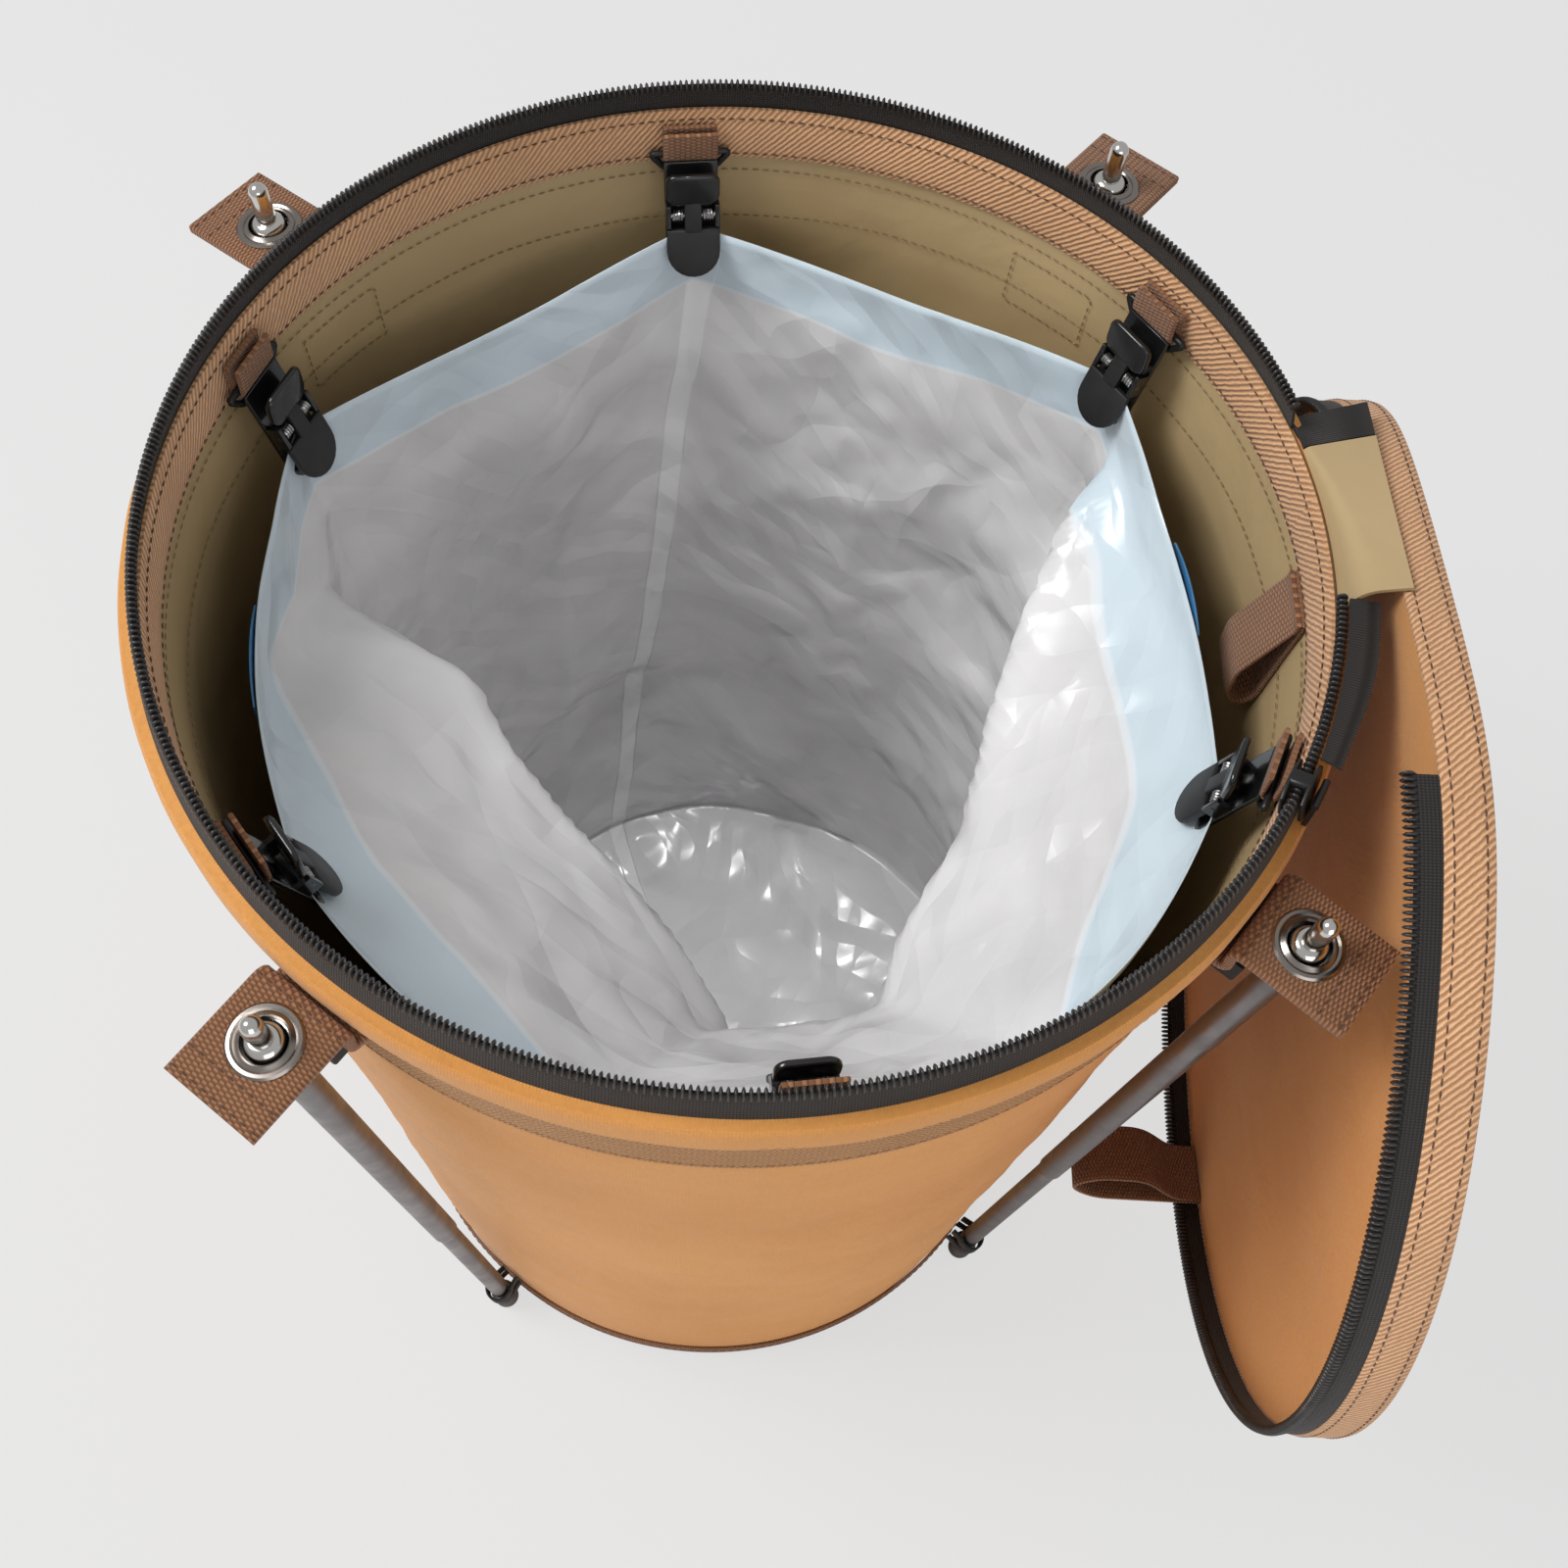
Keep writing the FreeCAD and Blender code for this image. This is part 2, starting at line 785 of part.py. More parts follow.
def clip_ring():
    """Wire ring with a wide top bar in the sling and a narrow bottom bar in the clip's eye."""
    low_radius, low_z = in_clip_plane(ring_bar_x, ring_bar_height)
    top = Vec(sling_radius(), 0, sling_wire_z)
    bottom = Vec(low_radius, 0, low_z)
    half_top = ring_top_width / 2 - ring_wire / 2
    half_bottom = ring_bottom_width / 2 - ring_wire / 2
    corners = [
        top - SIDEWAYS * half_top,
        top + SIDEWAYS * half_top,
        bottom + SIDEWAYS * half_bottom,
        bottom - SIDEWAYS * half_bottom,
    ]
    off_plane = SIDEWAYS.cross((top - bottom).normalize())
    stations = []
    for n, corner in enumerate(corners):
        behind = (corner - corners[n - 1]).normalize()
        ahead = (corners[(n + 1) % len(corners)] - corner).normalize()
        outward = (behind - ahead).normalize()
        mitre = outward * (1 / abs(outward.dot(behind.cross(off_plane))))
        stations.append(wire_corners(corner, mitre, off_plane, ring_wire))
    return solid_through(stations, True)


# Liner bag

def liner_levels():
    """(height, radius at a clip, radius between clips), floor to edge, on the film's outer face."""
    grip_x = hem_film / 2
    edge = in_clip_plane(grip_x, -liner_edge_below_pivot)
    below = in_clip_plane(grip_x, -tongue_length - neck_height)
    chord = math.cos(math.pi / clip_count)
    floor = lining_floor_z + lining_thickness + ply_gap
    waist = (floor + below[1]) / 2
    return [
        (floor, liner_base_radius, liner_base_radius),
        (waist, liner_base_radius + liner_waist_out, liner_base_radius + liner_waist_out - liner_fold),
        (below[1] - liner_hem_depth / 2, below[0] - liner_tuck, below[0] - liner_tuck - liner_tuck_fold),
        (below[1], below[0], (below[0] + edge[0] * chord) / 2),
        (edge[1], edge[0], edge[0] * chord + liner_edge_bulge),
    ]


def liner_point(level, corner, inset, raise_by=0.0):
    """One corner of the bag's folded outline: three to a clip, two on its flat and one between clips."""
    height, flat_radius, between_radius = level
    clip, place = divmod(corner, 3)
    azimuth = first_clip_azimuth + FULL_TURN * clip / clip_count
    if place == 2:
        middle = math.radians(azimuth + FULL_TURN / clip_count / 2)
        radius = between_radius - inset
        sag = liner_sag if height > clip_pivot_z - tongue_length else 0
        return Vec(radius * math.cos(middle), radius * math.sin(middle), height - sag + raise_by)
    side = liner_flat_half if place == 1 else -liner_flat_half
    return turned_point(flat_radius - inset, side, height + raise_by, azimuth)


def turned_point(x, y, z, azimuth):
    angle = math.radians(azimuth)
    return Vec(
        x * math.cos(angle) - y * math.sin(angle),
        x * math.sin(angle) + y * math.cos(angle),
        z,
    )


def triangle(a, b, c):
    return Part.Face(Part.makePolygon([a, b, c, a]))


def skin_between(low_ring, high_ring):
    """Triangles between two rings of points."""
    faces = []
    count = len(low_ring)
    for n in range(count):
        m = (n + 1) % count
        faces.append(triangle(low_ring[n], low_ring[m], high_ring[m]))
        faces.append(triangle(low_ring[n], high_ring[m], high_ring[n]))
    return faces


def closed_solid(faces):
    solid = Part.Solid(Part.makeShell(faces))
    if solid.Volume < 0:
        solid.reverse()
    return solid


def film_rings(levels, inset, raise_by=0.0):
    corners = range(3 * clip_count)
    return [[liner_point(level, corner, inset, raise_by) for corner in corners] for level in levels]


def band_solid(levels, outer_inset, inner_inset):
    """A closed band of film between two levels."""
    outer = film_rings(levels, outer_inset)
    inner = film_rings(levels, inner_inset)
    faces = skin_between(outer[0], outer[1]) + skin_between(inner[0], inner[1])
    faces += skin_between(outer[0], inner[0]) + skin_between(outer[1], inner[1])
    return closed_solid(faces)


def between_levels(low, high, share):
    return tuple(a + (b - a) * share for a, b in zip(low, high))


def drawstring_levels(grow=0.0):
    """The two heights of the drawstring inside the bag's hem."""
    levels = liner_levels()
    low, high = levels[-2], levels[-1]
    span = high[0] - low[0]
    middle = 0.55
    half = (drawstring_width / 2 + grow) / span
    return [between_levels(low, high, middle - half), between_levels(low, high, middle + half)]


def liner():
    """Thin bag with a thick folded hem, a channel for the drawstring and two notches that show it."""
    levels = liner_levels()
    outer = film_rings(levels, 0)
    insets = [liner_film] * (len(levels) - 2) + [hem_film, hem_film]
    inner = [film_rings([level], inset)[0] for level, inset in zip(levels, insets)]
    lift = Vec(0, 0, liner_film)
    inner[0] = [point + lift for point in inner[0]]
    faces = []
    for n in range(len(levels) - 1):
        faces += skin_between(outer[n], outer[n + 1]) + skin_between(inner[n], inner[n + 1])
    faces += skin_between(outer[-1], inner[-1])
    for ring in (outer[0], inner[0]):
        faces.append(Part.Face(Part.makePolygon(ring + ring[:1])))
    bag = closed_solid(faces)
    channel = band_solid(drawstring_levels(drawstring_room), channel_inset(), hem_film - channel_inset())
    bag = bag.cut(channel)
    for azimuth in notch_azimuths:
        bag = bag.cut(notch(azimuth))
    return bag


def channel_inset():
    return (hem_film - drawstring_thickness) / 2 - drawstring_room


def notch(azimuth):
    """Cut-out in the hem's inner film that bares the drawstring."""
    level = liner_levels()[-1]
    low = drawstring_levels()[0][0]
    outer = level[2] - hem_film + channel_inset()
    return turned(slab(outer - 6 * hem_film, outer, notch_width, low - liner_sag, level[0]), azimuth)


def liner_drawstring():
    inset = (hem_film - drawstring_thickness) / 2
    return band_solid(drawstring_levels(), inset, inset + drawstring_thickness)


# Lid, in its own frame: face upwards at z = 0, hinge side towards +X

def lid_outline(inset):
    """Corners of a disc cut straight at the hinge, with rounded corners, set in from the lid's edge."""
    corner = lid_corner - inset
    centre_x = lid_cut - lid_corner
    centre_y = math.sqrt((lid_ring_radius - lid_corner) ** 2 - centre_x ** 2)
    turn = math.degrees(math.atan2(centre_y, centre_x))
    first = arc_points(centre_x, centre_y, corner, 0, turn)
    edge = arc_points(0, 0, lid_ring_radius - inset, turn, FULL_TURN - 2 * turn, ring_panels)
    last = arc_points(centre_x, -centre_y, corner, -turn, turn)
    return first + edge[1:-1] + last


def lid_plate(inset, bottom, top):
    loop = [Vec(x, y, bottom) for x, y in lid_outline(inset)]
    return Part.Face(Part.makePolygon(loop + loop[:1])).extrude(UP * (top - bottom))


def lid_panel():
    return lid_plate(lid_binding_thickness + seam_gap, -lid_canvas_thickness, 0)


def lid_lining():
    """Coated lining, turned down at its edge behind the binding."""
    inset = lid_binding_thickness + seam_gap
    top = -lid_canvas_thickness - ply_gap
    bottom = -lid_binding_height - lid_lining_thickness / 2
    pan = lid_plate(inset, bottom, top)
    return pan.cut(lid_plate(inset + lid_lining_thickness, bottom - cut_margin, top - lid_lining_thickness))


def lid_binding():
    ring = lid_plate(0, -lid_binding_height, 0)
    return ring.cut(lid_plate(lid_binding_thickness, -lid_binding_height - cut_margin, cut_margin))


def lid_zip_span():
    """Azimuths, in the lid's own frame, where the lid's zip starts and how far it runs."""
    half = math.degrees(math.acos((lid_cut - lid_corner / 2) / lid_ring_radius))
    return half, FULL_TURN - 2 * half


def lid_zip_tape():
    start, sweep = lid_zip_span()
    outer = lid_ring_radius - lid_binding_thickness / 4
    inner = outer - zip_tape_thickness
    top = lid_zip_height - zip_coil_height - ply_gap
    return panel_ring([(inner, ply_gap), (outer, ply_gap), (outer, top), (inner, top)], start, sweep)


def lid_zip_coil():
    start, sweep = lid_zip_span()
    middle = lid_ring_radius - lid_binding_thickness / 4 - zip_tape_thickness / 2
    half = zip_coil_width / 2
    chamfer = zip_coil_width / 4
    top = lid_zip_height
    low = top - zip_coil_height
    outline = [
        (middle - half + chamfer, low),
        (middle + half - chamfer, low),
        (middle + half, (low + top) / 2),
        (middle + half - chamfer, top),
        (middle - half + chamfer, top),
        (middle - half, (low + top) / 2),
    ]
    return panel_ring(outline, start, sweep)


def lid_loop():
    """Webbing hand loop sewn to the lid's edge. It stands out on the face side."""
    outer = lid_ring_radius - zip_coil_width - lid_loop_thickness
    inner = outer - lid_loop_thickness - ply_gap
    low = outer - lid_loop_height
    foot = lid_zip_height + ply_gap
    head = foot + lid_loop_reach
    path = [
        (outer, ply_gap),
        (outer, head - lid_loop_round),
        ((outer + low) / 2, head),
        (low, head - lid_loop_round),
        (low, foot + lid_loop_open),
        (inner, foot),
        (inner, ply_gap),
    ]
    return turned(strap(path, lid_loop_thickness, lid_loop_bend, lid_loop_width), lid_loop_azimuth)


def lid_frame():
    """The open lid's middle, and the directions to its hinge, along its edge and off its face."""
    azimuth = math.radians(lid_hinge_azimuth)
    lean = math.radians(lid_lean)
    swing = math.radians(lid_swing)
    outward = Vec(math.cos(azimuth), math.sin(azimuth), 0)
    along = Vec(-math.sin(azimuth), math.cos(azimuth), 0)
    down = UP * -math.cos(lean) + outward * math.sin(lean)
    hang = down * math.cos(swing) - along * math.sin(swing)
    normal = outward * -math.cos(lean) - UP * math.sin(lean)
    to_hinge = hang * -1
    centre = outward * lid_hang_out + UP * lid_hang_z + hang * lid_cut
    return centre, to_hinge, normal.cross(to_hinge), normal


def hung(shape):
    """Moves a shape from the lid's own frame to where the lid hangs, open, outside the wall."""
    centre, to_hinge, side, normal = lid_frame()
    placed = shape.copy()
    matrix = FreeCAD.Matrix(
        to_hinge.x, side.x, normal.x, centre.x,
        to_hinge.y, side.y, normal.y, centre.y,
        to_hinge.z, side.z, normal.z, centre.z,
        0, 0, 0, 1,
    )
    placed.Placement = FreeCAD.Placement(matrix).multiply(placed.Placement)
    return placed


# Hinge side of the rim

def lid_edge_at(azimuth, lift, depth):
    """(radius, z) over the lid's straight edge, lifted off it and set back from its face, at an azimuth."""
    centre, to_hinge, side, normal = lid_frame()
    start = centre + to_hinge * (lid_cut + lift) - normal * depth
    angle = math.radians(azimuth)
    across = Vec(-math.sin(angle), math.cos(angle), 0)
    point = start - side * (start.dot(across) / side.dot(across))
    return math.hypot(point.x, point.y), point.z


def hinge_strip(start, end, thickness):
    """Cloth strip from the wall's top over to the lid's straight edge, between two azimuths."""
    foot = wall_top_radius - zip_centre_offset()
    foot_z = wall_top_z + 2 * seam_gap
    half = thickness / 2
    stations = []
    for n in range(hinge_stations + 1):
        azimuth = start + (end - start) * n / hinge_stations
        seat_r, seat_z = lid_edge_at(azimuth, seam_gap + half, hinge_lap)
        crest_z = seat_z + hinge_crest
        outline = [
            (foot - half, foot_z),
            (foot + half, foot_z),
            (foot + half, crest_z - half),
            (seat_r, seat_z - half),
            (seat_r, seat_z + half),
            (foot - half, crest_z + half),
        ]
        stations += stations_at(outline, [azimuth])
    faces = end_faces(stations)
    for n in range(hinge_stations):
        faces += skin_between(stations[n], stations[n + 1])
    return closed_solid(faces)


def joined_zip_tape():
    """Tape of the zip's closed stretch, from beside the coil outwards."""
    coil_side = leaning_outline(zip_length - zip_coil_height / 2, zip_length, 0, zip_coil_width / 2)[1]
    start_r = coil_side[0] + seam_gap
    end_r = start_r + joined_tape_width
    start_z = coil_side[1]
    half = zip_tape_thickness / 2
    outline = [
        (start_r, start_z - half),
        (end_r, start_z - half),
        (end_r, start_z + half),
        (start_r, start_z + half),
    ]
    sweep = hinge_start_azimuth - joined_gap - joined_start_azimuth
    return round_section(outline, joined_start_azimuth, sweep)


def inner_loop():
    """Webbing loop sewn under the twill band, hanging against the lining."""
    top = wall_top_z - twill_band_height - seam_gap
    bottom = top - inner_loop_drop
    lining_face = wall_radius(bottom) - inside_offset
    gap = inside_offset + sagitta(lining_face, inner_loop_width) + seam_gap + sling_thickness / 2
    out_top = wall_radius(top) - gap
    out_bottom = wall_radius(bottom) - gap
    spread = inner_loop_gap + sling_thickness
    in_top = out_top - sling_thickness - ply_gap
    path = [
        (out_top, top),
        (out_bottom, bottom + spread / 2),
        (out_bottom - spread / 2, bottom),
        (out_bottom - spread, bottom + spread / 2),
        (out_bottom - spread, bottom + 2 * spread),
        (in_top, top - 2 * sling_thickness),
        (in_top, top),
    ]
    return turned(strap(path, sling_thickness, sling_thickness, inner_loop_width), inner_loop_azimuth)


# Zip slider

def slider_outline(grow_in, grow_out):
    """Outline of the slider round the coil, open downwards for the tape."""
    low = zip_length - zip_coil_height - slider_clearance - slider_wall
    high = zip_length + grow_out
    half = zip_coil_width / 2 + grow_out
    return leaning_outline(low - grow_in, high, -half, half)


def zip_slider():
    """Two plates joined over the coil, with an ear for the pull."""
    sweep = math.degrees(slider_length / rim_radius)
    body = round_section(slider_outline(0, slider_clearance + slider_wall), -sweep / 2, sweep)
    channel = round_section(coil_outline(slider_clearance), -sweep, 2 * sweep)
    half_tape = zip_tape_thickness / 2 + slider_clearance
    throat = leaning_outline(0, zip_length - zip_coil_height, -half_tape, half_tape)
    body = body.cut(channel).cut(round_section(throat, -sweep, 2 * sweep))
    ear_r, ear_z = pull_axis()
    round_ear = pull_axle_diameter
    ear = Part.makeCylinder(round_ear, ear_width, Vec(ear_r, -ear_width / 2, ear_z), SIDEWAYS)
    face_r = ear_r - round_ear - slider_wall
    ear = ear.fuse(slab(face_r, ear_r, ear_width, ear_z - round_ear, ear_z + round_ear))
    ear = ear.cut(round_section(slider_outline(0, slider_clearance), -sweep, 2 * sweep))
    ear = ear.cut(Part.makeCylinder(axle_bore(), 2 * ear_width, Vec(ear_r, -ear_width, ear_z), SIDEWAYS))
    return turned(body.fuse(ear).removeSplitter(), slider_azimuth)


def axle_bore():
    return pull_axle_diameter / 2 + pull_axle_gap


def pull_axis():
    """(radius, z) of the pull's axle, just outside the slider's outer plate."""
    plate = leaning_outline(zip_length - zip_coil_height / 2, zip_length, 0, zip_coil_width / 2)[1]
    return plate[0] + slider_clearance + slider_wall + pull_axle_diameter, plate[1]


def zip_pull():
    """Flat pull with a wire axle across its top that passes through the slider's ear."""
    ear_r, ear_z = pull_axis()
    half = pull_width / 2
    axle = Part.makeCylinder(pull_axle_diameter / 2, pull_width, Vec(ear_r, -half, ear_z), SIDEWAYS)
    front = ear_r + pull_thickness / 2
    blade = slab(front - pull_thickness, front, pull_width, ear_z - pull_length, ear_z)
    window_low = ear_z - 2 * pull_axle_diameter
    window_high = ear_z + pull_axle_diameter
    window_width = ear_width + 2 * ear_side_gap
    window = slab(ear_r - pull_thickness, ear_r + pull_thickness, window_width, window_low, window_high)
    eye_start = Vec(ear_r - pull_thickness, 0, ear_z - pull_length + pull_eye + pull_eye_edge)
    eye = Part.makeCylinder(pull_eye / 2, 2 * pull_thickness, eye_start, Vec(1, 0, 0))
    blade = blade.cut(window).cut(eye)
    return turned(axle.fuse(blade).removeSplitter(), slider_azimuth)


def group(shape_at, azimuths):
    """Separate like solids in one part."""
    solids = []
    for azimuth in azimuths:
        solids.extend(shape_at(azimuth).Solids)
    return Part.makeCompound(solids)


def build_parts():
    parts = {
        "canvas_wall": canvas_wall(),
        "lining_wall": lining_wall(),
        "base_panel": base_panel(),
        "base_board": base_board(),
        "base_binding": base_binding(),
        "webbing_band": webbing_band(),
        "hem_band": hem_band(),
        "rim_hoop": rim_hoop(),
        "twill_band": twill_band(),
        "body_zip_tape": body_zip_tape(),
        "body_zip_coil": body_zip_coil(),
        "hinge_panel": hinge_strip(hinge_start_azimuth, hinge_end_azimuth, hinge_thickness),
        "joined_zip_tape": joined_zip_tape(),
        "zip_end_stop": hinge_strip(end_stop_start_azimuth, end_stop_end_azimuth, zip_tape_thickness),
        "inner_loop": inner_loop(),
        "liner": liner(),
        "liner_drawstring": liner_drawstring(),
        "lid_panel": hung(lid_panel()),
        "lid_lining": hung(lid_lining()),
        "lid_binding": hung(lid_binding()),
        "lid_zip_tape": hung(lid_zip_tape()),
        "lid_zip_coil": hung(lid_zip_coil()),
        "lid_loop": hung(lid_loop()),
        "zip_slider": zip_slider(),
        "zip_pull": zip_pull(),
    }
    tab = pole_tab().cut(on_pole(tab_hole(), 0))
    for number, azimuth in enumerate(pole_azimuths, 1):
        parts["pole_tab_%d" % number] = turned(tab, azimuth)
        parts["pole_upper_%d" % number] = on_pole(upper_tube(), azimuth)
        parts["pole_lower_%d" % number] = on_pole(lower_tube(), azimuth)
        parts["pole_tip_%d" % number] = on_pole(pole_tip(), azimuth)
    parts["grommets"] = group(lambda azimuth: on_pole(grommet(), azimuth), pole_azimuths)
    parts["pole_feet"] = group(lambda azimuth: on_pole(foot_cap(), azimuth), pole_azimuths)
    parts["foot_loops"] = group(lambda azimuth: turned(foot_loop(), azimuth), pole_azimuths)
    parts["pole_keepers"] = group(lambda azimuth: turned(pole_keeper(), azimuth), pole_azimuths)
    for number, azimuth in enumerate(clip_azimuths, 1):
        parts["clip_jaw_%d" % number] = on_clip(clip_jaw(), azimuth)
    parts["clip_frames"] = group(lambda azimuth: on_clip(clip_frame(), azimuth), clip_azimuths)
    parts["clip_pins"] = group(lambda azimuth: on_clip(clip_pin(), azimuth), clip_azimuths)
    parts["clip_springs"] = group(lambda azimuth: on_clip(clip_springs(), azimuth), clip_azimuths)
    parts["clip_rings"] = group(lambda azimuth: turned(clip_ring(), azimuth), clip_azimuths)
    parts["clip_slings"] = group(lambda azimuth: turned(clip_sling(), azimuth), clip_azimuths)
    return parts


os.makedirs("parts", exist_ok=True)
for name, shape in build_parts().items():
    shape.exportStep("parts/%s.step" % name)
    state = "valid" if shape.isValid() else "NOT VALID"
    print("%-18s %2d solids %10.1f mm3 %s" % (name, len(shape.Solids), shape.Volume, state))
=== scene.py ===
import math

import bmesh
import bpy
from mathutils import Matrix, Vector, noise


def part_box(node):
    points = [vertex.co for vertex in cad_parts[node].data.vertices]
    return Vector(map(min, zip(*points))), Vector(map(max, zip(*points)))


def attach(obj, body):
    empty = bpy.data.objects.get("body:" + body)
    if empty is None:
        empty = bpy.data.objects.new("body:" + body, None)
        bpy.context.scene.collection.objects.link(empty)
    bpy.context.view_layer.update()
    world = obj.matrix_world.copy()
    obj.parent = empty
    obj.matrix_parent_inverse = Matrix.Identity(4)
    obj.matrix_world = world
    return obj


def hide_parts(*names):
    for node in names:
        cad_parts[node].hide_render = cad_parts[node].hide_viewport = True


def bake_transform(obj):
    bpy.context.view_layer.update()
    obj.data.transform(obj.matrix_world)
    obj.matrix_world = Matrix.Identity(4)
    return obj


# Looks of a collapsible camping trash can. Shapes are worked out in millimetres and stored in metres.

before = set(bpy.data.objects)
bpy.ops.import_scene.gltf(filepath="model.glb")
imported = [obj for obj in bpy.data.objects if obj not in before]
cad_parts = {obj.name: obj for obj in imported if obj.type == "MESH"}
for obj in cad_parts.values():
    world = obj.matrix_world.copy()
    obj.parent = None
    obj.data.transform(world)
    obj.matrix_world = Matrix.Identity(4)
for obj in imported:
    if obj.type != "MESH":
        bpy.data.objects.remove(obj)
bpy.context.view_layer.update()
MM = 0.001
CAN = "can"

# Cone of the cloth wall
base_radius = 138.0
rim_radius = 165.0
zip_stand = 13.0
zip_lean = math.radians(13.0)
wall_top_z = 437.0
wall_top_radius = rim_radius + zip_stand * math.tan(zip_lean)
wall_slope = (wall_top_radius - base_radius) / wall_top_z
canvas_thickness = 1.2
lining_offset = 1.45
lining_thickness = 0.8
lining_floor_z = 4.9
inside_offset = lining_offset + lining_thickness

# Bands of the rim and the base
hem_low_z = 419.4
hem_depth = 3.5
band_low_z = 392.4
band_high_z = 417.6
band_thickness = 1.3
facing_low_z = 419.0
facing_thickness = 1.6
binding_height = 9.0
binding_thickness = 1.6

# Zip: the start and end of the open stretch round the mouth
zip_start = 9.0
zip_end = 346.0
zip_length = zip_stand / math.cos(zip_lean)
coil_height = 4.5
coil_width = 3.4
tooth_pitch = 1.78

# Poles and tabs
pole_azimuths = {1: 45.0, 2: 135.0, 3: 225.0, 4: 315.0}
pole_foot_radius = 147.0
pole_top_radius = 187.0
grommet_z = 428.0
pole_tilt = math.atan2(pole_top_radius - pole_foot_radius, grommet_z)
pole_length = math.hypot(pole_top_radius - pole_foot_radius, grommet_z)
upper_tube_radius = 4.7
lower_tube_radius = 4.0
upper_tube_bottom = 170.0
cap_radius = 5.3
cap_length = 15.0
tab_thickness = 3.0
tab_width = 30.0
tab_reach = 20.0
grommet_radius = 10.0
grommet_hole = 6.2
tip_radius = 5.7
tip_barrel = 3.0
tip_dome = 4.2
tip_pin_radius = 3.0
tip_pin_height = 18.0
tip_nose = 3.6
collar_radius = 7.2
tube_overlap = 30.0
collar_top = pole_length - 2.8
collar_bottom = collar_top - 1.5

# Clips
clip_azimuths = {n: 30.0 + 60.0 * (n - 1) for n in range(1, 7)}
clip_lean = math.radians(19.0)
clip_pivot_radius = 150.0
clip_pivot_z = 408.0
clip_width = 17.6
grip_gap = 2.6
tongue_length = 21.5
tongue_thickness = 2.4
lever_length = 12.0
lever_lift = math.radians(17.0)
pin_x = -1.8
pin_radius = 0.9
clip_plate = 1.8
lug_thickness = 1.6
lug_reach = 3.6
eye_radius = 2.9
spring_radius = 1.5
spring_wire_radius = 0.45
spring_turns = 4
ring_wire_radius = 1.1
ring_top_half = 13.1
ring_bottom_half = 7.4
ring_bar_x = 4.5
ring_bar_z = 13.0
sling_z = 425.0
sling_top_z = 434.0
sling_radius = 159.4
sling_width = 17.6
sling_thickness = 1.4

# Liner
bag_edge_radius = 149.0
bag_edge_z = 402.6
bag_sag = 7.0
bag_hem = 27.0
bag_floor_radius = 124.0
bag_floor_z = 8.0
bag_thickness = 0.35
notch_half = 7.0
bag_seam = 228.0
# How far the edge stands out between two clips, by the azimuth of the middle
edge_slack = {0: 8.0, 60: 8.0, 120: 5.0, 180: 13.0, 240: 24.0, 300: 24.0}
# Sheets of film that fall inwards: the way they face, how far out, their crest's height and its slope
bag_flaps = [
    (215.0, 58.0, 312.0, -0.46),
    (272.0, 98.0, 306.0, 0.0),
    (333.0, 78.0, 338.0, 0.43),
]
# Smaller folds: azimuth, half width, depth, height, slant
bag_folds = [
    (172.0, 9.0, 9.0, 320.0, 0.12),
    (8.0, 20.0, 12.0, 300.0, -0.05),
    (62.0, 17.0, 7.0, 260.0, 0.03),
    (115.0, 18.0, 8.0, 240.0, 0.02),
]

# Lid
lid_ring_radius = 167.0
lid_cut = 153.0
lid_lean = math.radians(3.0)
lid_swing = math.radians(15.0)
lid_hinge_azimuth = math.radians(-10.0)
lid_hang_out = 179.0
lid_hang_z = 452.0
lid_binding_height = 13.0
lid_zip_height = 10.0
lid_zip_start = 27.0
lid_corner_power = 24.0

# Slider and pull
slider_azimuth = -35.5
slider_plate = 1.2
# (across, along) corners of a plate, from its narrow end round to it again
slider_outline = [
    (-7.6, 4.0), (-7.0, 10.5), (-3.0, 12.4), (3.5, 12.0), (7.6, 9.0), (7.6, 4.6), (4.0, 2.4), (-4.0, 2.0),
]

# Hinge side of the rim, in degrees round it
hinge_start = -14.0
hinge_end = 6.0
bridge_start = 6.2
bridge_end = 10.5
joined_tape_start = -32.2
joined_tape_end = -14.2
inner_loop_azimuth = -7.5


# Shapes

def smoothstep(value, low, high):
    share = min(max((value - low) / (high - low), 0.0), 1.0)
    return share * share * (3 - 2 * share)


def blend_of(first, second, share):
    return first + (second - first) * share


def wall_radius(z):
    return base_radius + wall_slope * z


def ring_point(radius, z, azimuth, side=0.0):
    angle = math.radians(azimuth)
    return Vector((
        radius * math.cos(angle) - side * math.sin(angle),
        radius * math.sin(angle) + side * math.cos(angle),
        z,
    ))


def steps(low, high, count):
    return [low + (high - low) * n / count for n in range(count + 1)]


def pole_place(azimuth):
    turn = Matrix.Rotation(math.radians(azimuth), 4, "Z")
    return turn @ Matrix.Translation((pole_foot_radius, 0, 0)) @ Matrix.Rotation(pole_tilt, 4, "Y")


def clip_place(azimuth):
    turn = Matrix.Rotation(math.radians(azimuth), 4, "Z")
    pivot = Matrix.Translation((clip_pivot_radius, 0, clip_pivot_z))
    return turn @ pivot @ Matrix.Rotation(clip_lean, 4, "Y")


def upright_place(azimuth):
    return Matrix.Rotation(math.radians(azimuth), 4, "Z")


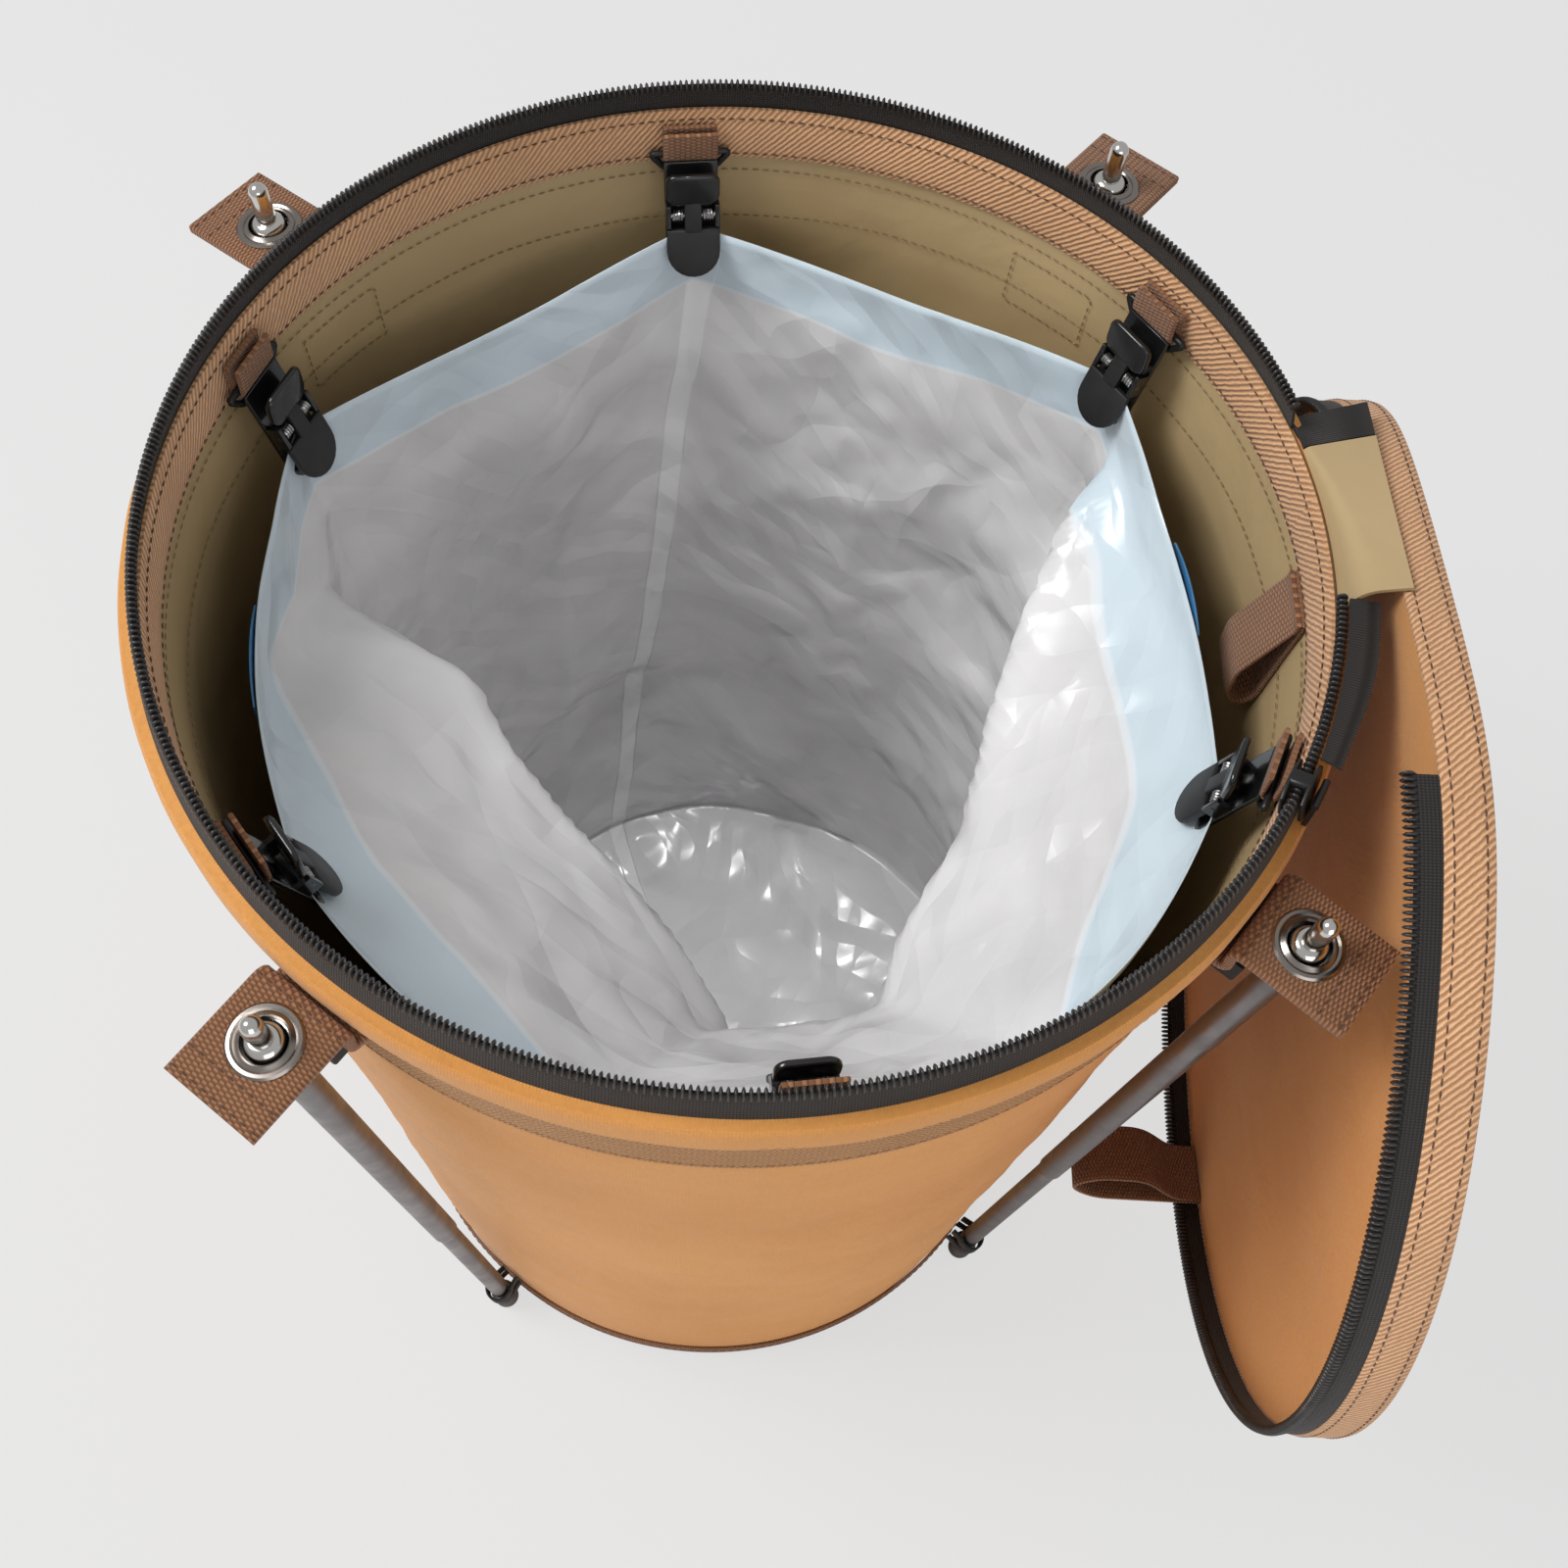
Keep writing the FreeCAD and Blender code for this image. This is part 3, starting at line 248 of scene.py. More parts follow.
def lid_place():
    """The hanging lid: X to its hinge, Y along its straight edge, Z off its canvas face."""
    outward = Vector((math.cos(lid_hinge_azimuth), math.sin(lid_hinge_azimuth), 0))
    along = Vector((-math.sin(lid_hinge_azimuth), math.cos(lid_hinge_azimuth), 0))
    up = Vector((0, 0, 1))
    down = outward * math.sin(lid_lean) - up * math.cos(lid_lean)
    hang = down * math.cos(lid_swing) - along * math.sin(lid_swing)
    normal = -outward * math.cos(lid_lean) - up * math.sin(lid_lean)
    side = normal.cross(-hang)
    centre = outward * lid_hang_out + up * lid_hang_z + hang * lid_cut
    place = Matrix((-hang, side, normal)).transposed().to_4x4()
    place.translation = centre
    return place


# Meshes

def in_scene(name, data):
    """A new object that shows a mesh, a lamp or a camera."""
    made = bpy.data.objects.new(name, data)
    bpy.context.scene.collection.objects.link(made)
    return made


def new_piece(name, points, faces, face_uvs, sharp=40.0):
    mesh = bpy.data.meshes.new(name)
    mesh.from_pydata([point * MM for point in points], [], faces)
    layer = mesh.uv_layers.new(name="Cloth")
    flat = [coordinate * MM for uvs in face_uvs for uv in uvs for coordinate in uv]
    layer.data.foreach_set("uv", flat)
    piece = in_scene(name, mesh)
    tidy_mesh(mesh)
    mesh.shade_smooth()
    mesh.set_sharp_from_angle(angle=math.radians(sharp))
    return piece


def tidy_mesh(mesh):
    """Closes poles and seams and points all faces outwards."""
    shape = bmesh.new()
    shape.from_mesh(mesh)
    bmesh.ops.remove_doubles(shape, verts=shape.verts, dist=1e-6)
    bmesh.ops.recalc_face_normals(shape, faces=shape.faces)
    shape.to_mesh(mesh)
    shape.free()


def sweep(name, stations, along, across, closed_path=False, closed_section=True, place=None, sharp=40.0):
    """A mesh through cross-sections, with a UV map in real lengths along and across it."""
    count = len(stations)
    width = len(stations[0])
    faces = []
    uvs = []
    for i in range(count if closed_path else count - 1):
        j = (i + 1) % count
        for k in range(width if closed_section else width - 1):
            m = (k + 1) % width
            faces.append((i * width + k, j * width + k, j * width + m, i * width + m))
            low, high = along[i], along[i + 1]
            uvs.append(((low, across[k]), (high, across[k]), (high, across[m]), (low, across[m])))
    if closed_section and not closed_path:
        for i in (0, count - 1):
            faces.append(tuple(i * width + k for k in range(width)))
            uvs.append(tuple((along[i], across[k]) for k in range(width)))
    points = [point for station in stations for point in station]
    if place is not None:
        points = [place @ point for point in points]
    return new_piece(name, points, faces, uvs, sharp)


def ring_band(name, section, azimuths, closed=True, sharp=40.0):
    """A band round the can. section(azimuth) gives its outline as (radius, z) points."""
    stations = []
    for azimuth in azimuths:
        stations.append([ring_point(radius, z, azimuth) for radius, z in section(azimuth)])
    degree = math.radians(1.0) * rim_radius
    along = [azimuth * degree for azimuth in azimuths]
    if closed:
        along.append(along[0] + 360.0 * degree)
    across = [z for radius, z in section(azimuths[0])]
    return sweep(name, stations, along, across, closed, True, None, sharp)


def around(count):
    return [360.0 * n / count for n in range(count)]


def rounded(points, bend, parts=4):
    """A path with its corners rounded."""
    path = [Vector(points[0])]
    for before, corner, after in zip(points, points[1:], points[2:]):
        before, corner, after = Vector(before), Vector(corner), Vector(after)
        reach = min(bend, 0.48 * (corner - before).length, 0.48 * (after - corner).length)
        start = corner + (before - corner).normalized() * reach
        end = corner + (after - corner).normalized() * reach
        for n in range(parts + 1):
            share = n / parts
            path.append(start.lerp(corner, share).lerp(corner.lerp(end, share), share))
    path.append(Vector(points[-1]))
    return path


def lathe(name, profile, place, sides=48, sharp=40.0):
    """A turned piece about the local Z axis, from its (radius, z) profile."""
    stations = []
    for n in range(sides):
        angle = 2 * math.pi * n / sides
        stations.append([Vector((p[0] * math.cos(angle), p[0] * math.sin(angle), p[1])) for p in profile])
    along = [n * 2 * math.pi * max(p[0] for p in profile) / sides for n in range(sides + 1)]
    across = [p[1] for p in profile]
    return sweep(name, stations, along, across, True, False, place, sharp)


def heading(path, n):
    """The direction of a path at its n-th point."""
    return (path[min(n + 1, len(path) - 1)] - path[max(n - 1, 0)]).normalized()


def lengths_along(path):
    lengths = [0.0]
    for before, after in zip(path, path[1:]):
        lengths.append(lengths[-1] + (after - before).length)
    return lengths


def strap_section(width, thickness, edge=0.5, spans=4):
    """(across, off) outline of webbing, with soft edges."""
    half, thick = width / 2, thickness / 2
    top = [(across, thick) for across in steps(edge - half, half - edge, spans)]
    bottom = [(across, -thick) for across in steps(half - edge, edge - half, spans)]
    left = [(-half, edge - thick), (-half, thick - edge)]
    right = [(half, thick - edge), (half, edge - thick)]
    return left + top + right + bottom


def strap(name, path, width, thickness, place, spans=4):
    """Webbing along a path of (x, z) points, its width along Y."""
    section = strap_section(width, thickness, min(0.5, thickness * 0.3), spans)
    stations = []
    for n, point in enumerate(path):
        run = heading(path, n)
        normal = Vector((-run[1], run[0]))
        station = []
        for across, off in section:
            station.append(Vector((point[0] + normal[0] * off, across, point[1] + normal[1] * off)))
        stations.append(station)
    across = [value for value, off in section]
    return sweep(name, stations, lengths_along(path), across, False, True, place, 50.0)


def plate(name, outline, low, high, place, edge=0.5, bow=0.0, sharp=35.0):
    """A moulded plate: an outline of (y, z) points between two x values, with rounded edges."""
    shape = bmesh.new()
    verts = [shape.verts.new((low, y, z)) for y, z in outline]
    face = shape.faces.new(verts)
    raised = bmesh.ops.extrude_face_region(shape, geom=[face])
    moved = [item for item in raised["geom"] if isinstance(item, bmesh.types.BMVert)]
    bmesh.ops.translate(shape, verts=moved, vec=(high - low, 0, 0))
    rims = [item for item in shape.edges if abs(item.verts[0].co.x - item.verts[1].co.x) < 1e-6]
    bmesh.ops.bevel(shape, geom=rims, offset=edge, segments=3, profile=0.5, affect="EDGES")
    bmesh.ops.recalc_face_normals(shape, faces=shape.faces)
    if bow:
        half = max(abs(y) for y, z in outline)
        for vert in shape.verts:
            vert.co.x += bow * (1 - (vert.co.y / half) ** 2)
    mesh = bpy.data.meshes.new(name)
    shape.transform(Matrix.Scale(MM, 4) @ place)
    shape.to_mesh(mesh)
    shape.free()
    mesh.shade_smooth()
    mesh.set_sharp_from_angle(angle=math.radians(sharp))
    return in_scene(name, mesh)


def rod(name, path, radius, place, sides=12):
    """Round wire along a path of points."""
    stations = []
    last_side = Vector((0, 1, 0))
    for n, point in enumerate(path):
        run = heading(path, n)
        side = last_side - run * last_side.dot(run)
        if side.length < 0.1:
            side = run.orthogonal()
        side.normalize()
        last_side = side
        up = run.cross(side)
        station = []
        for k in range(sides):
            angle = 2 * math.pi * k / sides
            station.append(point + (side * math.cos(angle) + up * math.sin(angle)) * radius)
        stations.append(station)
    across = [2 * math.pi * radius * k / sides for k in range(sides)]
    return sweep(name, stations, lengths_along(path), across, False, True, place, 50.0)


def joined(name, parts):
    """Several meshes of one body as one piece. A part that has a finish already keeps it."""
    finishes = []
    shape = bmesh.new()
    for part in parts:
        first = len(shape.faces)
        shape.from_mesh(part.data)
        shape.faces.ensure_lookup_table()
        for material in part.data.materials:
            if material not in finishes:
                finishes.append(material)
            for face in shape.faces[first:]:
                face.material_index = finishes.index(material)
    mesh = bpy.data.meshes.new(name)
    shape.to_mesh(mesh)
    shape.free()
    for material in finishes:
        mesh.materials.append(material)
    for part in parts:
        old = part.data
        bpy.data.objects.remove(part)
        bpy.data.meshes.remove(old)
    return in_scene(name, mesh)


def placed(piece, body, slot, material, *nodes):
    """Gives a finished piece its finish and its body, and hides the solids that it stands for."""
    piece.data.materials.clear()
    piece.data.materials.append(material)
    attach(piece, body)
    if nodes:
        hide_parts(*nodes)
    return piece


# Rows of teeth and stitches

def row_tree(name):
    """Geometry nodes that set rounded bars along a line, across it or along it."""
    tree = bpy.data.node_groups.new(name, "GeometryNodeTree")
    face = tree.interface
    face.new_socket("Line", in_out="INPUT", socket_type="NodeSocketGeometry")
    for label in ("Pitch", "Along", "Across", "Height"):
        face.new_socket(label, in_out="INPUT", socket_type="NodeSocketFloat")
    face.new_socket("Finish", in_out="INPUT", socket_type="NodeSocketMaterial")
    face.new_socket("Row", in_out="OUTPUT", socket_type="NodeSocketGeometry")
    nodes = tree.nodes
    inputs = nodes.new("NodeGroupInput")
    output = nodes.new("NodeGroupOutput")
    curve = nodes.new("GeometryNodeMeshToCurve")
    spaced = nodes.new("GeometryNodeResampleCurve")
    spaced.mode = "LENGTH"
    tangent = nodes.new("GeometryNodeInputTangent")
    side = nodes.new("GeometryNodeInputNamedAttribute")
    side.data_type = "FLOAT_VECTOR"
    side.inputs["Name"].default_value = "side"
    first = nodes.new("FunctionNodeAlignRotationToVector")
    first.axis = "X"
    second = nodes.new("FunctionNodeAlignRotationToVector")
    second.axis = "Y"
    second.pivot_axis = "X"
    bar = nodes.new("GeometryNodeMeshUVSphere")
    bar.inputs["Segments"].default_value = 8
    bar.inputs["Rings"].default_value = 5
    bar.inputs["Radius"].default_value = 0.5
    size = nodes.new("ShaderNodeCombineXYZ")
    copies = nodes.new("GeometryNodeInstanceOnPoints")
    real = nodes.new("GeometryNodeRealizeInstances")
    soft = nodes.new("GeometryNodeSetShadeSmooth")
    finish = nodes.new("GeometryNodeSetMaterial")
    link = tree.links.new
    link(inputs.outputs["Line"], curve.inputs["Mesh"])
    link(curve.outputs["Curve"], spaced.inputs["Curve"])
    link(inputs.outputs["Pitch"], spaced.inputs["Length"])
    link(tangent.outputs["Tangent"], first.inputs["Vector"])
    link(first.outputs["Rotation"], second.inputs["Rotation"])
    link(side.outputs["Attribute"], second.inputs["Vector"])
    link(inputs.outputs["Along"], size.inputs["X"])
    link(inputs.outputs["Across"], size.inputs["Y"])
    link(inputs.outputs["Height"], size.inputs["Z"])
    link(spaced.outputs["Curve"], copies.inputs["Points"])
    link(bar.outputs["Mesh"], copies.inputs["Instance"])
    link(second.outputs["Rotation"], copies.inputs["Rotation"])
    link(size.outputs["Vector"], copies.inputs["Scale"])
    link(copies.outputs["Instances"], real.inputs["Geometry"])
    link(real.outputs["Geometry"], soft.inputs["Geometry"])
    link(soft.outputs["Geometry"], finish.inputs["Geometry"])
    link(inputs.outputs["Finish"], finish.inputs["Material"])
    link(finish.outputs["Geometry"], output.inputs["Row"])
    return tree


def bar_row(name, lines, pitch, size, material, closed=False):
    """Bars of size (along, across, high) on lines of (point, side direction) pairs."""
    mesh = bpy.data.meshes.new(name + "_line")
    points = []
    edges = []
    sides = []
    for line in lines:
        first = len(points)
        points += [point * MM for point, side in line]
        sides += [tuple(side) for point, side in line]
        edges += [(first + n, first + n + 1) for n in range(len(line) - 1)]
        if closed:
            edges.append((len(points) - 1, first))
    mesh.from_pydata(points, edges, [])
    direction = mesh.attributes.new("side", "FLOAT_VECTOR", "POINT")
    direction.data.foreach_set("vector", [value for side in sides for value in side])
    guide = in_scene(name + "_line", mesh)
    modifier = guide.modifiers.new("Row", "NODES")
    modifier.node_group = rows
    values = {"Pitch": pitch * MM, "Along": size[0] * MM, "Across": size[1] * MM, "Height": size[2] * MM}
    for item in rows.interface.items_tree:
        if item.in_out == "INPUT" and item.name in values:
            modifier[item.identifier] = values[item.name]
        elif item.in_out == "INPUT" and item.name == "Finish":
            modifier[item.identifier] = material
    graph = bpy.context.evaluated_depsgraph_get()
    result = bpy.data.meshes.new_from_object(guide.evaluated_get(graph))
    result.name = name
    bpy.data.objects.remove(guide)
    bpy.data.meshes.remove(mesh)
    return in_scene(name, result)


rows = row_tree("bars_in_a_row")


def crease_lines(pitches, turn_on):
    """Straight creases that never line up: the direction across them, half their pitch and their depth."""
    golden_angle = 2.39996
    lines = []
    for n, (pitch, deep) in enumerate(pitches):
        turn = golden_angle * (n + turn_on)
        climb = 0.9 * math.sin(1.7 * n + 0.4 * turn_on)
        level = math.cos(climb)
        direction = Vector((level * math.cos(turn), level * math.sin(turn), math.sin(climb)))
        lines.append((direction, pitch, deep))
    return lines


# Creases of the film's mesh, and the small ones of its finish, in millimetres
crease_sizes = [(83.0, 12.0), (59.0, 10.0), (43.0, 8.0), (31.0, 5.5), (19.0, 2.4), (11.0, 1.0)]
crinkle_sizes = [(27.0, 2.4), (21.0, 1.9), (16.0, 1.5), (13.0, 1.1), (10.0, 0.8), (7.0, 0.5)]
creases = crease_lines(crease_sizes, 1)
crinkle_lines = crease_lines(crinkle_sizes, 4)
crinkle_drift = 60.0



def ring_line(radius, z, low=0.0, high=360.0, count=360, sway=None):
    """A line round the can at one height, with the upward direction as its side."""
    line = []
    for azimuth in steps(low, high, count):
        offset = sway(azimuth, z) if sway else 0.0
        line.append((ring_point(radius + offset, z, azimuth), Vector((0, 0, 1))))
    return line if high - low < 360.0 else line[:-1]


# Finishes

def darker(tone, share):
    """A tone at this share of its brightness."""
    return tuple(part * share for part in tone[:3]) + (1.0,)


def srgb(red, green, blue):
    """A colour given as it looks on screen, from 0 to 255, as a linear colour."""
    linear = []
    for value in (red, green, blue):
        share = value / 255
        linear.append(share / 12.92 if share <= 0.04045 else ((share + 0.055) / 1.055) ** 2.4)
    return (*linear, 1.0)


class Finish:
    """One procedural material, built step by step."""

    def __init__(self, name, roughness=0.5, metallic=0.0, sheen=0.0, specular=0.5, coat=0.0):
        self.material = bpy.data.materials.new(name)
        self.material.use_nodes = True
        self.tree = self.material.node_tree
        self.tree.nodes.clear()
        self.shader = self.tree.nodes.new("ShaderNodeBsdfPrincipled")
        self.output = self.tree.nodes.new("ShaderNodeOutputMaterial")
        self.tree.links.new(self.shader.outputs["BSDF"], self.output.inputs["Surface"])
        self.shader.inputs["Roughness"].default_value = roughness
        self.shader.inputs["Metallic"].default_value = metallic
        self.shader.inputs["Sheen Weight"].default_value = sheen
        self.shader.inputs["Specular IOR Level"].default_value = specular
        self.shader.inputs["Coat Weight"].default_value = coat
        self.place = None

    def node(self, kind, **settings):
        made = self.tree.nodes.new(kind)
        for key, value in settings.items():
            setattr(made, key, value)
        return made

    def feed(self, socket, value):
        if isinstance(value, bpy.types.NodeSocket):
            self.tree.links.new(value, socket)
        else:
            socket.default_value = value

    def here(self):
        """Object coordinates, in metres."""
        if self.place is None:
            self.place = self.node("ShaderNodeTexCoord").outputs["Object"]
        return self.place

    def cloth(self):
        """Lengths along and across the cloth, in millimetres."""
        split = self.node("ShaderNodeSeparateXYZ")
        chart = self.node("ShaderNodeUVMap", uv_map="Cloth")
        self.feed(split.inputs[0], chart.outputs["UV"])
        along = self.maths("MULTIPLY", split.outputs["X"], 1 / MM)
        across = self.maths("MULTIPLY", split.outputs["Y"], 1 / MM)
        return along, across

    def maths(self, operation, first, second=0.0, clamp=False):
        made = self.node("ShaderNodeMath", operation=operation, use_clamp=clamp)
        self.feed(made.inputs[0], first)
        self.feed(made.inputs[1], second)
        return made.outputs[0]

    def ranged(self, value, low, high, new_low=0.0, new_high=1.0):
        made = self.node("ShaderNodeMapRange", clamp=True)
        self.feed(made.inputs["Value"], value)
        ends = {"From Min": low, "From Max": high, "To Min": new_low, "To Max": new_high}
        for label, number in ends.items():
            made.inputs[label].default_value = number
        return made.outputs["Result"]

    def mixed(self, share, first, second):
        made = self.node("ShaderNodeMix", data_type="RGBA")
        self.feed(made.inputs[0], share)
        self.feed(made.inputs[6], first)
        self.feed(made.inputs[7], second)
        return made.outputs[2]

    def cloudy(self, scale, detail=2.0, kind="FBM", distortion=0.0):
        made = self.node("ShaderNodeTexNoise", noise_type=kind)
        self.feed(made.inputs["Vector"], self.here())
        made.inputs["Scale"].default_value = scale
        made.inputs["Detail"].default_value = detail
        made.inputs["Distortion"].default_value = distortion
        return made.outputs[0]

    def crinkles(self):
        """Height of crushed film, in millimetres: small flat facets between sharp, straight creases."""
        drift = self.node("ShaderNodeTexNoise")
        self.feed(drift.inputs["Vector"], self.here())
        drift.inputs["Scale"].default_value = 8.0
        drift.inputs["Detail"].default_value = 3.0
        bent = self.node("ShaderNodeVectorMath", operation="MULTIPLY_ADD")
        self.feed(bent.inputs[0], drift.outputs["Color"])
        bent.inputs[1].default_value = (crinkle_drift * MM,) * 3
        self.feed(bent.inputs[2], self.here())
        calm = self.node("ShaderNodeTexNoise")
        self.feed(calm.inputs["Vector"], self.here())
        calm.inputs["Scale"].default_value = 21.0
        calm.inputs["Detail"].default_value = 1.0
        parts = self.node("ShaderNodeSeparateColor")
        self.feed(parts.inputs[0], calm.outputs["Color"])
        total = 0.0
        for n, (direction, pitch, deep) in enumerate(crinkle_lines):
            lean = self.node("ShaderNodeVectorMath", operation="DOT_PRODUCT")
            self.feed(lean.inputs[0], bent.outputs[0])
            lean.inputs[1].default_value = direction / (pitch * MM)
            ridge = self.maths("PINGPONG", lean.outputs["Value"], 1.0)
            share = self.ranged(parts.outputs[n % 3], 0.42, 0.6, (n // 3) % 2, 1 - (n // 3) % 2)
            here = self.maths("MULTIPLY", self.maths("MULTIPLY", ridge, share), deep)
            total = self.maths("ADD", here, total)
        return total

    def colour(self, value):
        self.feed(self.shader.inputs["Base Color"], value)

    def rough(self, value):
        self.feed(self.shader.inputs["Roughness"], value)

    def raised(self, height, distance, before=None):
        """Bump of a height from 0 to 1, in millimetres."""
        made = self.node("ShaderNodeBump")
        made.inputs["Strength"].default_value = 1.0
        made.inputs["Distance"].default_value = distance * MM
        self.feed(made.inputs["Height"], height)
        if before is not None:
            self.feed(made.inputs["Normal"], before)
        self.feed(self.shader.inputs["Normal"], made.outputs["Normal"])
        return made.outputs["Normal"]


def half_wave(finish, value, pitch):
    """A soft ridge, from 0 to 1, that repeats at this pitch."""
    angle = finish.maths("MULTIPLY", value, 2 * math.pi / pitch)
    wave = finish.maths("SINE", angle)
    return finish.maths("ADD", finish.maths("MULTIPLY", wave, 0.5), 0.5)


def canvas_finish():
    """Ochre cotton canvas, close plain weave with a painted highlight on its thread crests, lightly creased.
    """
    made = Finish("ochre_canvas_cloth", roughness=0.78, sheen=0.15, specular=0.25)
    along, across = made.cloth()
    weave = made.maths("MULTIPLY", half_wave(made, along, 0.9), half_wave(made, across, 0.9))
    patches = made.ranged(made.cloudy(9.0, 3.0), 0.35, 0.65)
    tone = made.mixed(patches, srgb(209, 143, 72), srgb(220, 155, 84))
    speckle = made.ranged(made.cloudy(900.0, 2.0), 0.3, 0.7)
    tone = made.mixed(made.maths("MULTIPLY", speckle, 0.25), tone, srgb(176, 118, 62))
    # Painted highlight: the weave's thread crests are lightened towards a pale ochre.
    made.colour(made.mixed(made.maths("MULTIPLY", weave, 0.16), tone, srgb(232, 176, 110)))
    crease = made.raised(made.cloudy(26.0, 4.0, "FBM", 1.2), 1.6)
    made.raised(weave, 0.12, crease)
    return made.material


def lining_finish():
    """Khaki lining with a thin coating."""
    made = Finish("khaki_coated_lining", roughness=0.5, specular=0.35, coat=0.05)
    patches = made.ranged(made.cloudy(7.0, 3.0), 0.3, 0.7)
    tone = made.mixed(patches, srgb(176, 152, 112), srgb(188, 164, 123))
    made.colour(tone)
    crease = made.raised(made.cloudy(17.0, 4.0, "FBM", 0.8), 1.6)
    made.raised(made.cloudy(700.0, 1.0), 0.05, crease)
    return made.material


def twill_finish(name, light, dark, pitch, slant, herringbone=0.0):
    """Tape with slanting ribs, in rows that turn back where it is a herringbone."""
    made = Finish(name, roughness=0.8, sheen=0.2, specular=0.2)
    along, across = made.cloth()
    if herringbone:
        across = made.maths("PINGPONG", across, herringbone)
    slanted = made.maths("ADD", along, made.maths("MULTIPLY", across, slant))
    wobble = made.maths("MULTIPLY", made.cloudy(420.0, 2.0), 0.5 * pitch)
    rib = half_wave(made, made.maths("ADD", slanted, wobble), pitch)
    rib = made.maths("POWER", rib, 0.7)
    patches = made.ranged(made.cloudy(30.0, 3.0), 0.3, 0.7)
    ridge = made.mixed(patches, light, darker(light, 0.86))
    made.colour(made.mixed(rib, dark, ridge))
    made.raised(rib, 0.55)
    return made.material


def webbing_finish(name, light, dark, bar=1.5, row=2.4):
    """Heavy plain-weave webbing: short ribs in staggered rows."""
    made = Finish(name, roughness=0.75, sheen=0.2, specular=0.25)
    along, across = made.cloth()
    line = made.maths("FLOOR", made.maths("DIVIDE", across, row))
    shift = made.maths("MULTIPLY", line, bar / 2)
    rib = half_wave(made, made.maths("ADD", along, shift), bar)
    edge = made.maths("ABSOLUTE", made.maths("SINE", made.maths("MULTIPLY", across, math.pi / row)))
    height = made.maths("MULTIPLY", rib, made.maths("POWER", edge, 0.5))
    patches = made.ranged(made.cloudy(40.0, 2.0), 0.3, 0.7)
    ridge = made.mixed(patches, light, darker(light, 0.85))
    made.colour(made.mixed(height, dark, ridge))
    made.raised(height, 0.6)
    return made.material


def tape_finish(name, light, dark, roughness=0.7):
    """Fine close tape, as on a zip."""
    made = Finish(name, roughness=roughness, sheen=0.1, specular=0.3)
    along, across = made.cloth()
    weave = made.maths("MULTIPLY", half_wave(made, along, 0.8), half_wave(made, across, 1.0))
    made.colour(made.mixed(weave, dark, light))
    made.raised(weave, 0.2)
    return made.material


def moulded_finish(name, tone, roughness, grain=900.0, depth=0.02, coat=0.0):
    """Moulded plastic with a fine grain and worn, slightly paler patches."""
    made = Finish(name, roughness=roughness, specular=0.5, coat=coat)
    patches = made.ranged(made.cloudy(120.0, 3.0), 0.4, 0.75)
    paler = tuple(min(1.0, c * 1.5 + 0.004) for c in tone[:3]) + (1.0,)
    made.colour(made.mixed(patches, tone, paler))
    made.rough(made.ranged(made.cloudy(60.0, 2.0), 0.3, 0.7, roughness * 0.85, roughness * 1.15))
    made.raised(made.cloudy(grain, 2.0), depth)
    return made.material


def metal_finish(name, tone, roughness, streak=0.0, metallic=1.0):
    """Metal with faint smears and a fine grain."""
    made = Finish(name, roughness=roughness, metallic=metallic)
    smear = made.ranged(made.cloudy(45.0, 4.0), 0.35, 0.7)
    made.colour(made.mixed(made.maths("MULTIPLY", smear, 0.35), tone, darker(tone, 0.7)))
    made.rough(made.ranged(made.cloudy(90.0, 3.0), 0.3, 0.7, roughness * 0.8, roughness * 1.3))
    made.raised(made.cloudy(700.0, 2.0), 0.01 + streak)
    return made.material


def film_finish(name, edge_tone, film_tone):
    """Thin milky film, pale blue where its hem is doubled, with patches of painted shade and sharp little
    crinkles.
    """
    made = Finish(name, roughness=0.24, specular=0.6)
    along, across = made.cloth()
    middle = made.maths("ADD", made.maths("MULTIPLY", across, 0.12), bag_seam)
    seam = made.ranged(made.maths("ABSOLUTE", made.maths("SUBTRACT", along, middle)), 4.2, 5.0, 1.0, 0.0)
    below_hem = made.ranged(across, bag_hem - 0.8, bag_hem + 0.8)
    # Painted shade: darker cloudy patches stand in for the uneven light that comes through the film's
    # overlapping layers.
    shade_patches = made.ranged(made.cloudy(14.0, 3.0, "FBM", 0.6), 0.35, 0.65)
    film = made.mixed(shade_patches, film_tone, darker(film_tone, 0.86))
    film = made.mixed(made.maths("MULTIPLY", seam, 0.6), film, srgb(252, 252, 252))
    tone = made.mixed(below_hem, edge_tone, film)
    weld = made.maths("ABSOLUTE", made.maths("SUBTRACT", across, bag_hem))
    tone = made.mixed(made.ranged(weld, 0.5, 1.2, 0.5, 0.0), tone, srgb(236, 240, 243))
    made.colour(tone)
    crinkled = made.raised(made.crinkles(), 1.0)
    made.raised(seam, 0.4, crinkled)
    return made.material


def thread_finish(name, tone):
    made = Finish(name, roughness=0.6, sheen=0.1)
    lay = made.cloudy(1800.0, 1.0)
    made.colour(made.mixed(lay, tone, darker(tone, 0.6)))
    made.raised(lay, 0.05)
    return made.material


canvas = canvas_finish()
lining = lining_finish()
twill_light, twill_dark = srgb(240, 190, 144), srgb(180, 129, 91)
brown_twill = twill_finish("brown_twill_tape", twill_light, twill_dark, 2.2, 0.9)
herringbone_light, herringbone_dark = srgb(210, 152, 90), srgb(150, 100, 52)
ochre_herringbone = twill_finish(
    "ochre_herringbone_band", herringbone_light, herringbone_dark, 1.5, 0.8, 3.1)
brown_webbing = webbing_finish("brown_webbing", srgb(180, 128, 90), srgb(118, 78, 52), 1.3, 1.7)
black_tape = tape_finish("black_zip_tape", srgb(62, 58, 56), srgb(28, 26, 25))
black_elastic = tape_finish("black_elastic", srgb(40, 38, 38), srgb(14, 13, 13))
tooth_nylon = moulded_finish("black_nylon_teeth", srgb(44, 41, 40), 0.32)
tongue_plastic = moulded_finish("black_matt_plastic", srgb(22, 22, 23), 0.5)
lever_plastic = moulded_finish("black_glossy_plastic", srgb(16, 16, 17), 0.22, coat=0.3)
